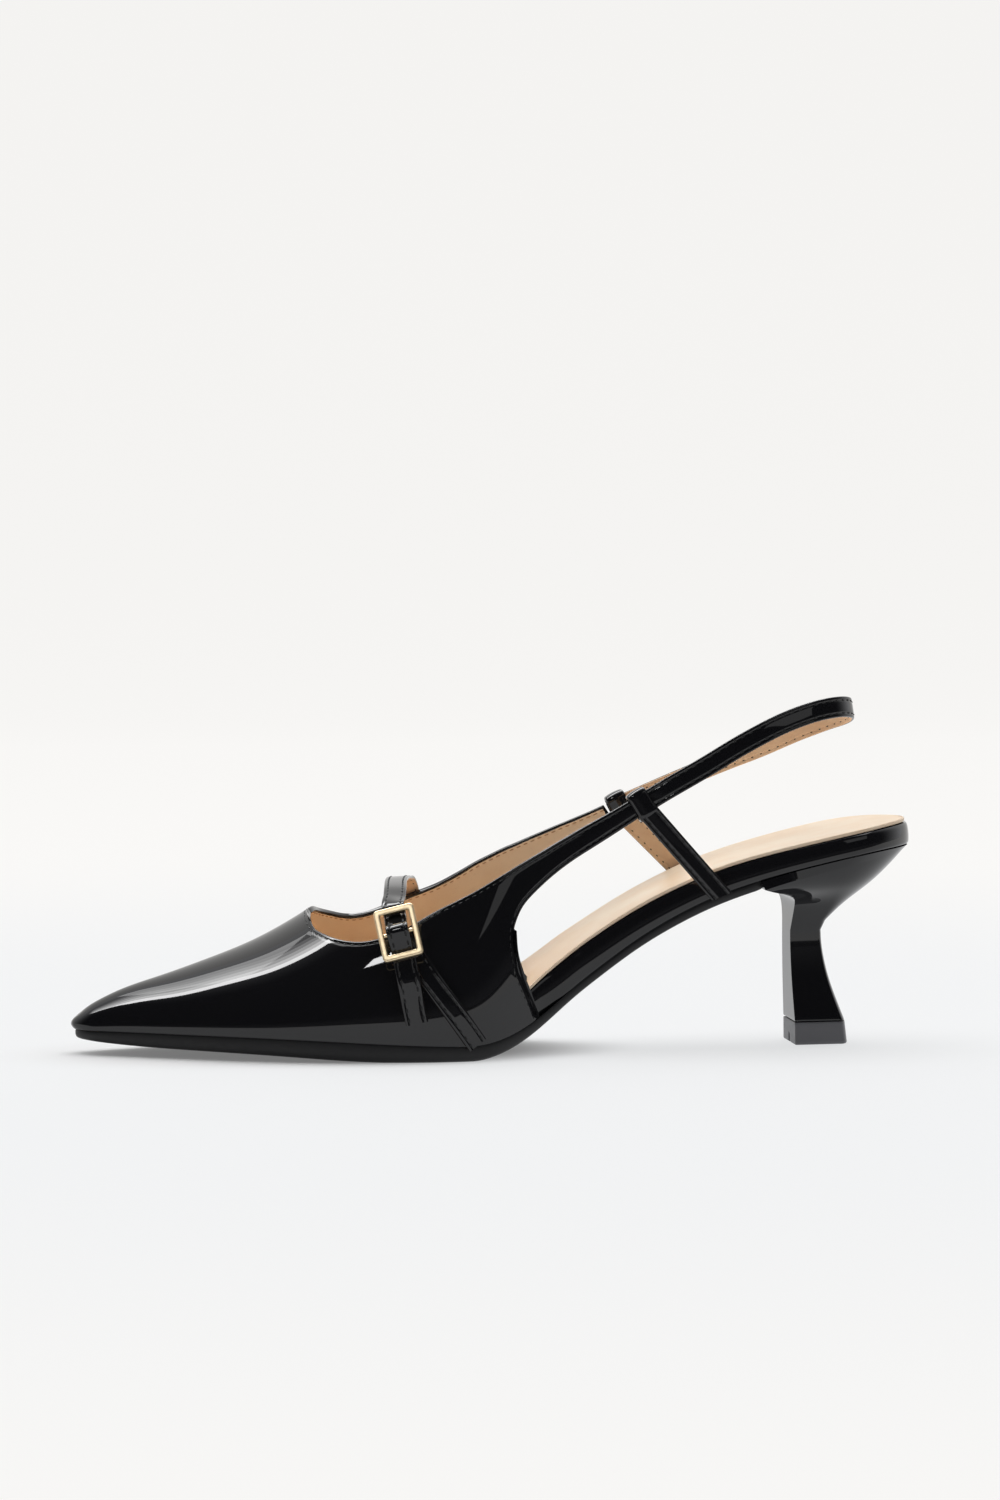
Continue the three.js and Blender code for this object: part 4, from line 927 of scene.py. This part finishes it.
# Instep strap: share of the length, of half the ball width, height above the feather line, sideways look
STRAP_ARCH = np.array([
    [0.4042, 0.650, 0.892, 0.90], [0.3970, 0.470, 0.914, 0.50], [0.3888, 0.220, 0.931, 0.22],
    [0.3822, -0.040, 0.926, 0.00], [0.3760, -0.360, 0.902, -0.26], [0.3718, -0.560, 0.866, -0.48],
])
lift = GAP + STRAP_THICK / 2
under = -(BUCKLE_DEPTH / 2 + GAP + STRAP_THICK / 2 + 0.15)
over = EYE_OUTER + GAP + STRAP_THICK / 2
end_half = BUCKLE_LENGTH / 2
instep = [on_upper(1, a, h, lift + more) for a, h, more in (
    (0.4530, 0.012, 0), (0.4400, 0.280, 0), (0.4270, 0.520, 0), (0.4160, 0.690, 0), (0.4100, 0.820, 0.3))]
for share_at, half, up, look in STRAP_ARCH:
    at = share_at * LENGTH
    instep.append((np.array([at, half * BALL_WIDTH / 2, feather(at) + up * SIDE_HEIGHT]),
                   unit(np.array([0, look, 1.0]))))
slot_along = [end_half + 1.2, end_half - BUCKLE_BAR / 2, end_half - BUCKLE_BAR - 0.5, 3, 0.7]
slot_out = [under - 0.1, under, under + 0.25, (under + over) / 2 + 0.2, over]
instep += [(at_buckle(a, b), buckle_face) for a, b in zip(slot_along, slot_out)]
instep += [(at_buckle(-a, b), buckle_face) for a, b in list(zip(slot_along, slot_out))[:0:-1]]
instep += [on_upper(0, 0.3810, 0.400, lift + STAY_THICK + 0.9), on_upper(0, 0.3850, 0.270, lift + 0.5),
           on_upper(0, 0.3900, 0.140, lift + 0.1)]
instep_path = smooth_path([place for place, _ in instep], 14)
instep_faces = unit(smooth_path([face for _, face in instep], 14))
strap("Instep_strap", instep_path, instep_faces, STRAP_WIDTH, STRAP_THICK, "instep_strap")

# Punched hole beside the bar: not cut, but a black plug painted as the shade inside the hole
HOLE_UP = 1.9
hole_way = (instep_path - buckle_middle) @ BUCKLE_UP
in_window = np.linalg.norm(instep_path - at_buckle(HOLE_UP, 1.2), axis=1) < 4
hole_row = np.argmin(np.where(in_window, np.abs(hole_way - HOLE_UP), 1e9))
_, _, hole_out = (direction[hole_row] for direction in frames(instep_path, instep_faces))
hole_middle = instep_path[hole_row] - buckle_side * 1.7 + hole_out * (STRAP_THICK / 2)
round_turn = np.arange(28) * math.tau / 28
hole_up = unit(np.cross(hole_out, buckle_side))
hole_ring = np.cos(round_turn)[:, None] * buckle_side + np.sin(round_turn)[:, None] * hole_up
hole_rows = np.stack([hole_middle + hole_ring * radius + hole_out * lift_out for radius, lift_out in (
    (0.9, -0.4), (0.9, 0.0), (0.9, 0.05), (0.85, 0.055))])
closed_piece("Strap_hole_shade", hole_rows, hole_shade_paint, "strap_leather", ("instep_strap",))

# Sole, rand and sock


def stations(start, end, nose, back, count=130):
    """Places along a slab, close together where its ends are rounded."""
    front = start + nose * (1 - np.cos(np.linspace(0, math.pi / 2, 16)))
    rear = end - back * (1 - np.cos(np.linspace(math.pi / 2, 0, 26))) if back else np.array([end])
    return np.concatenate([front, np.linspace(front[-1], rear[0], count)[1:-1], rear])


def slab(name, start, end, nose, back, half, rings, material, slot_name, node, crown=None, smooth=42):
    """A flat piece between rings, each an inset and a height. For every place the closed section runs over
    the bottom, up the inner side, back over the top and down the outer side. The half width is (half - inset)
    times quarter circles at both ends, and the top may swell or sink by crown(at, -1..1 across)."""
    across = np.linspace(-1, 1, 25)
    loops = []
    for inset, height in rings:
        at = stations(start + inset, end - (inset if back else 0), nose, back)
        shape = cap(at, at[0], nose) * (cap(-at, -at[-1], back) if back else 1)
        wide = [np.maximum(0, (half(side, at) - inset) * shape) for side in (0, 1)]
        loops.append((at, wide, height(at)))

    def row(k, t):
        at, wide, high = loops[k]
        t = np.asarray(t)[None, :]
        y = centre(at)[:, None] + np.where(t < 0, t * wide[0][:, None], t * wide[1][:, None])
        z = high[:, None] + (crown(at[:, None], t) if crown and k == len(rings) - 1 else 0 * t)
        return np.stack([np.broadcast_to(at[:, None], y.shape), y, z], -1)

    sides = range(1, len(rings) - 1)
    sections = np.concatenate([row(0, across)] + [row(k, [1]) for k in sides] + [
        row(len(rings) - 1, across[::-1])] + [row(k, [-1]) for k in reversed(sides)], 1)
    points = sections.reshape(-1, 3)
    faces = grid_faces(*sections.shape[:2], False, True)
    if not back:
        last_row = (sections.shape[0] - 1) * sections.shape[1]
        faces.append([last_row + k for k in range(sections.shape[1])][::-1])
    flip = not outward(points, faces)
    return finish_piece(name, points, faces, material, slot_name, (node,), smooth, flip)


def between(low, high, share):
    return lambda at: mix(low(at), high(at), share)


def round_rings(low, high, corner, bottom_inset, top_inset):
    """Rings of an edge from low to high whose corners are rounded off."""
    turn = np.linspace(0, math.pi / 2, 6)
    rings = [(bottom_inset * (1 - math.sin(t)), between(low, high, corner * (1 - math.cos(t)))) for t in turn]
    rings += [(0.0, between(low, high, s)) for s in np.linspace(corner, 1 - corner, 8)[1:-1]]
    rings += [(top_inset * (1 - math.sin(t)), between(low, high, 1 - corner * (1 - math.cos(t))))
              for t in turn[::-1]]
    return rings


def outsole_top(at):
    return feather(at) - 0.1


BREAST_TAPER = 5.0             # the sole thins out under the lip of the heel


def sole_rise(share):
    """Height at a share of the sole's edge. Behind the breast the underside rises to the top."""
    def height(at):
        top = outsole_top(at)
        return mix(mix(tread(at), top, share), top, ease((at - BREAST) / BREAST_TAPER))

    return height


def outsole_half(side, at):
    return plan_half[side](at) - 1.2 * ease((at - BREAST + 0.8) / 1.5)


slab("Outsole", 1.3, BREAST + BREAST_TAPER, NOSE_ROUND, 0, outsole_half, [
    (inset, sole_rise(share)) for inset, share in (
        (2.4, 0), (1.5, 0.02), (0.8, 0.09), (0.35, 0.2), (0.1, 0.36), (0, 0.55), (0, 0.88), (0.12, 1))],
     sole_rubber, "sole_rubber", "outsole")


def board_half(side, at):
    inside = (WALL + GAP) * (1 - ease((at - QUARTER_END - 0.5) / 12))
    return plan_half[side](at) + FEATHER_MARGIN - inside


def board_top(at):
    return foot(at) - SOCK - GAP


def sock_half(side, at):
    rim = SOCK_MARGIN * ease((at - QUARTER_END + 6) / 16)
    return board_half(side, at) - rim - 0.9 * (1 - ease(at / 60))


SEAT_RADIUS = 22
RAND_RINGS = [(0.6, 0.0), (0.25, 0.04), (0.06, 0.1), (0.0, 0.18), (0.0, 0.3), (0.03, 0.42), (0.1, 0.54),
              (0.2, 0.66), (0.34, 0.78), (0.52, 0.88), (0.75, 0.95), (1.05, 1.0)]
slab("Wrapped_rand", 8, LENGTH, 6, SEAT_RADIUS, board_half,
     [(inset, between(feather, board_top, share)) for inset, share in RAND_RINGS], rand_patent,
     "rand_leather", "insole_board")
slab("Insole_sock", 9, LENGTH - SOCK_MARGIN, 6, SEAT_RADIUS, sock_half,
     round_rings(lambda at: foot(at) - SOCK, foot, 0.3, 0.3, 0.55), sock_leather, "lining_leather", "insole",
     crown=lambda at, t: -0.25 * (1 - t * t) * ease((at - 60) / 60))

# Heel and tip


def seat_half(side, at):
    return plan_half[side](at) + FEATHER_MARGIN - SEAT_ROOM


# Rings of the flare over the neck, in the order of heel_ring's values: places and heights in shares of the
# heel's height, half widths in shares of the seat's
HEEL_BOWL = np.array([
    [0.200, 0.618, 0.390, 0.618, 0.310, 0.300, 0.78, 0.0],
    [0.203, 0.700, 0.480, 0.702, 0.440, 0.440, 0.66, 0.0],
    [0.185, 0.745, 0.575, 0.776, 0.600, 0.620, 0.56, 0.2],
    [0.130, 0.768, 0.655, 0.842, 0.760, 0.790, 0.50, 0.4],
    [0.065, 0.784, 0.730, 0.915, 0.885, 0.910, 0.46, 0.7],
    [0.015, 0.799, 0.776, 0.965, 0.965, 0.975, 0.45, 0.9],
])
# Flare of the shaft: way down from the neck, share from the neck's size to the tip's
SHAFT = np.array([[0, 0], [0.1, 0.015], [0.3, 0.12], [0.55, 0.36], [0.8, 0.7], [1, 1]])
NECK_TOP = 0.57 * HEEL_HEIGHT
NECK_FRONT = BREAST + 0.196 * HEEL_HEIGHT
TIP_FRONT = NECK_FRONT + 1.2
ROUND_STEPS = 40


def heel_ring(front, front_up, back, back_up, half_front, half_back, start_round, follow, seat=None):
    """A ring with a flat front and a rounded back: half width = mix of front and back * sqrt(1 - r^2), where
    r runs from 0 at start_round to 1 at the back. follow bends it along the feather line."""
    v = np.sin(np.linspace(0, 1, ROUND_STEPS) * math.pi / 2)
    at = mix(front, back, v)
    shape = np.sqrt(np.maximum(0, 1 - np.clip((v - start_round) / (1 - start_round), 0, 1) ** 2))
    bow = feather(at) - GAP - mix(feather(front) - GAP, feather(back) - GAP, v)
    z = mix(front_up, back_up, v) + follow * bow
    half = [seat(side, at) if seat else mix(half_front, half_back, v) * shape for side in (0, 1)]
    left = np.stack([at, -half[0], z], 1)
    right = np.stack([at, half[1], z], 1)
    left[-1, 1] = 0
    front_row = np.linspace(right[0], left[0], 11)[1:-1]
    return np.concatenate([left, right[-2::-1], front_row])


def shaft_ring(flare, z, inset=0.0):
    front = mix(NECK_FRONT, TIP_FRONT, flare) + inset
    back = mix(NECK_FRONT + NECK_LENGTH, TIP_FRONT + TIP_LENGTH, flare) - inset
    wide = mix(NECK_HALF, TIP_HALF, flare) - inset
    return heel_ring(front, z, back, z, wide, wide * 0.86, 0.86, 0)


flare_at = spline(SHAFT[:, 0], SHAFT[:, 1])
HEEL_BOTTOM = TIP_HEIGHT + GAP
rings = [shaft_ring(0.9, HEEL_BOTTOM, 0.25), shaft_ring(0.9, HEEL_BOTTOM + 0.08, 0.08)]
for down in np.linspace(0.985, 0, 40):
    rings.append(shaft_ring(0.9 * float(flare_at(down)), mix(NECK_TOP, HEEL_BOTTOM, down)))
bowl_columns = [spline(np.arange(6), HEEL_BOWL[:, k]) for k in range(8)]
width_scale = seat_half(0, 0.89 * LENGTH)
for u in np.linspace(0, 5, 41):
    row = [float(value(u)) for value in bowl_columns]
    front, front_up, back, back_up = (share * HEEL_HEIGHT for share in row[:4])
    rings.append(heel_ring(BREAST + front, front_up, BREAST + back, back_up, row[4] * width_scale,
                           row[5] * width_scale, row[6], row[7]))
seat_end = LENGTH - SEAT_ROOM
top_ring = heel_ring(BREAST, feather(BREAST) - GAP, seat_end, feather(seat_end) - GAP, 0, 0, 0.5, 1,
                     lambda side, at: seat_half(side, at) * cap(-at, -seat_end, SEAT_RADIUS))
rings += [mix(rings[-1], top_ring, t) for t in np.linspace(0, 1, 9)[1:]]
closed_piece("Covered_heel", np.array(rings), heel_patent, "heel_cover", ("heel",), smooth=38)

tip_rings = [shaft_ring(1, 0, 0.35), shaft_ring(1, 0.1, 0.1), shaft_ring(1, 0.35)]
tip_rings += [shaft_ring(mix(1, 0.91, s), mix(0.35, TIP_HEIGHT - 0.3, s)) for s in np.linspace(0.1, 1, 10)]
tip_rings += [shaft_ring(0.91, TIP_HEIGHT - 0.08, 0.1), shaft_ring(0.91, TIP_HEIGHT, 0.3)]
tip = closed_piece("Heel_tip", np.array(tip_rings), tip_rubber, "tip_rubber", ("heel_tip",), smooth=38)

arch_turn = np.linspace(0, math.pi, 17)
notch_radius = NOTCH_WIDTH / 2
arch = np.concatenate([
    [[notch_radius, -1]],
    [0, NOTCH_HEIGHT - notch_radius] + notch_radius * np.stack([np.cos(arch_turn), np.sin(arch_turn)], 1),
    [[-notch_radius, -1]]])
notch = np.stack([np.insert(arch, 0, TIP_FRONT + depth, axis=1) for depth in (-2.5, 1.5)])
cutter = closed_piece("Notch", notch, tip_rubber, "tip_rubber")
cut = tip.modifiers.new("Notch", "BOOLEAN")
cut.object = cutter
cut.operation = "DIFFERENCE"
cut.solver = "EXACT"
carved = bpy.data.meshes.new_from_object(tip.evaluated_get(bpy.context.evaluated_depsgraph_get()))
tip.modifiers.remove(cut)
tip.data = carved
bpy.data.objects.remove(cutter)

# Floor, light and camera


def grey(value):
    return (value, value, value, 1)


floor_paint = Paint("Studio_paper", Roughness=0.9, Specular_IOR_Level=0.1, Emission_Strength=1.0)
floor_x, floor_y, _ = floor_paint.separate(floor_paint.place)
# The paper's glow is painted light: round the shoe it lifts the cast shadow, but under the ball the paper is
# lit mostly by the lamps, so the contact shadow stays dark there; further away it glows evenly. In front
# of the picture's lower edge the glow ends like a table, which the patent shows as black over the floor's grey.
away = ((floor_x * floor_x + floor_y * floor_y) ** 0.5).above(0.2, 0.75)
under_ball = ((((floor_x + 0.058) / 0.075) ** 2.0 + (floor_y / 0.034) ** 2.0) ** 0.5).above(0.8, 1.4)
past_table = (0.0 - floor_y).above(0.66, 0.80)
near_base = floor_paint.blend(under_ball, grey(0.72), grey(0.21))
near_glow = floor_paint.blend(under_ball, grey(0.17), (0.675, 0.683, 0.690, 1))
paper_glow = floor_paint.blend(away, near_glow, (0.895, 0.886, 0.870, 1))
floor_paint.set("Base Color", floor_paint.blend(away, near_base, grey(0.03)))
floor_paint.set("Emission Color", floor_paint.blend(past_table, paper_glow, grey(0.03)))

FLOOR_FRONT, FLOOR_BACK, COVE, WALL_TOP, HALF_WIDTH = -3.5, 1.6, 0.9, 3.2, 4.0
cove_turn = np.linspace(0, math.pi / 2, 24)
side_line = [(FLOOR_FRONT, 0.0)]
side_line += [(FLOOR_BACK + COVE * math.sin(t), COVE * (1 - math.cos(t))) for t in cove_turn]
side_line += [(FLOOR_BACK + COVE, WALL_TOP)]
paper = bpy.data.meshes.new("Studio_backdrop")
paper.from_pydata([(x, y, z) for x in (-HALF_WIDTH, HALF_WIDTH) for y, z in side_line], [],
                  grid_faces(2, len(side_line)))
paper.polygons.foreach_set("use_smooth", [True] * len(paper.polygons))
paper.materials.append(floor_paint.material)
backdrop = bpy.data.objects.new("Studio_backdrop", paper)
bpy.context.scene.collection.objects.link(backdrop)


def point_along(holder, direction):
    """Turns a lamp or the camera to look along a direction, upright."""
    holder.rotation_euler = mathutils.Vector(direction).to_track_quat("-Z", "Y").to_euler()


def area_light(name, place, aim, size, power):
    lamp = bpy.data.lights.new(name, "AREA")
    lamp.shape = "RECTANGLE"
    lamp.size, lamp.size_y = size
    lamp.energy = power
    holder = bpy.data.objects.new(name, lamp)
    bpy.context.scene.collection.objects.link(holder)
    holder.location = place
    point_along(holder, np.subtract(aim, place))
    return holder


area_light("Overhead_softbox", (0.0, 0.3, 1.6), (0, 0, 0), (1.8, 1.2), 17)
area_light("Right_panel", (0.62, -0.95, 0.72), (0.0, 0, 0.05), (0.75, 0.5), 0.7)
shine = [area_light("Small_window", (-0.432, -0.772, 0.815), (-0.03, 0, 0.03), (0.10, 0.085), 0.5)]
# Strips with one common front edge, each wider than the last, so the highlight on the vamp fades to the back.
STRIP_PLACE, STRIP_AIM = np.array((-0.2, 0.28, 1.0)), np.array((-0.05, 0, 0))
STRIP_BACK = np.array((-0.4465, 0.838, -0.306))
STRIP_LENGTH, STRIP_WIDTH, STRIP_STEP = 1.5, 0.07, 0.06
for k, radiance in enumerate((6.5, 3.5, 2.6, 1.8, 1.0)):
    width = STRIP_WIDTH + k * STRIP_STEP
    shift = STRIP_BACK * k * STRIP_STEP / 2
    power = radiance * math.pi * STRIP_LENGTH * width
    size = (STRIP_LENGTH, width)
    shine.append(area_light(f"Streak_{k}", STRIP_PLACE + shift, STRIP_AIM + shift, size, power))
for lamp in shine:
    lamp.visible_diffuse = False

# The room is bright behind the shoe and dark in front, a little lighter near the horizon.
world = bpy.data.worlds.new("Studio")
bpy.context.scene.world = world
room = Tree(world)
_, back, height = room.separate(room.node("ShaderNodeTexCoord", {}, out="Generated"))
front = room.node("ShaderNodeMapRange", SMOOTH, height, 0.0, 0.10, 0.10, 0.025)
strength = room.node("ShaderNodeMapRange", SMOOTH, back, -0.25, 0.55, front, 1.0)
glow = room.node("ShaderNodeBackground", {}, (0.97, 0.98, 1.0, 1), strength)
room.tree.links.new(glow.socket, room.tree.nodes.new("ShaderNodeOutputWorld").inputs[0])

camera = bpy.data.cameras.new("Photo_camera")
camera.lens = 109.46
camera.sensor_width = 36
camera.clip_start = 0.05
holder = bpy.data.objects.new("Photo_camera", camera)
bpy.context.scene.collection.objects.link(holder)
holder.location = (-0.1930, -1.3844, 0.1756)
point_along(holder, (0.1389, 0.9885, -0.0598))
bpy.context.scene.camera = holder
bpy.context.scene.view_settings.view_transform = "Standard"
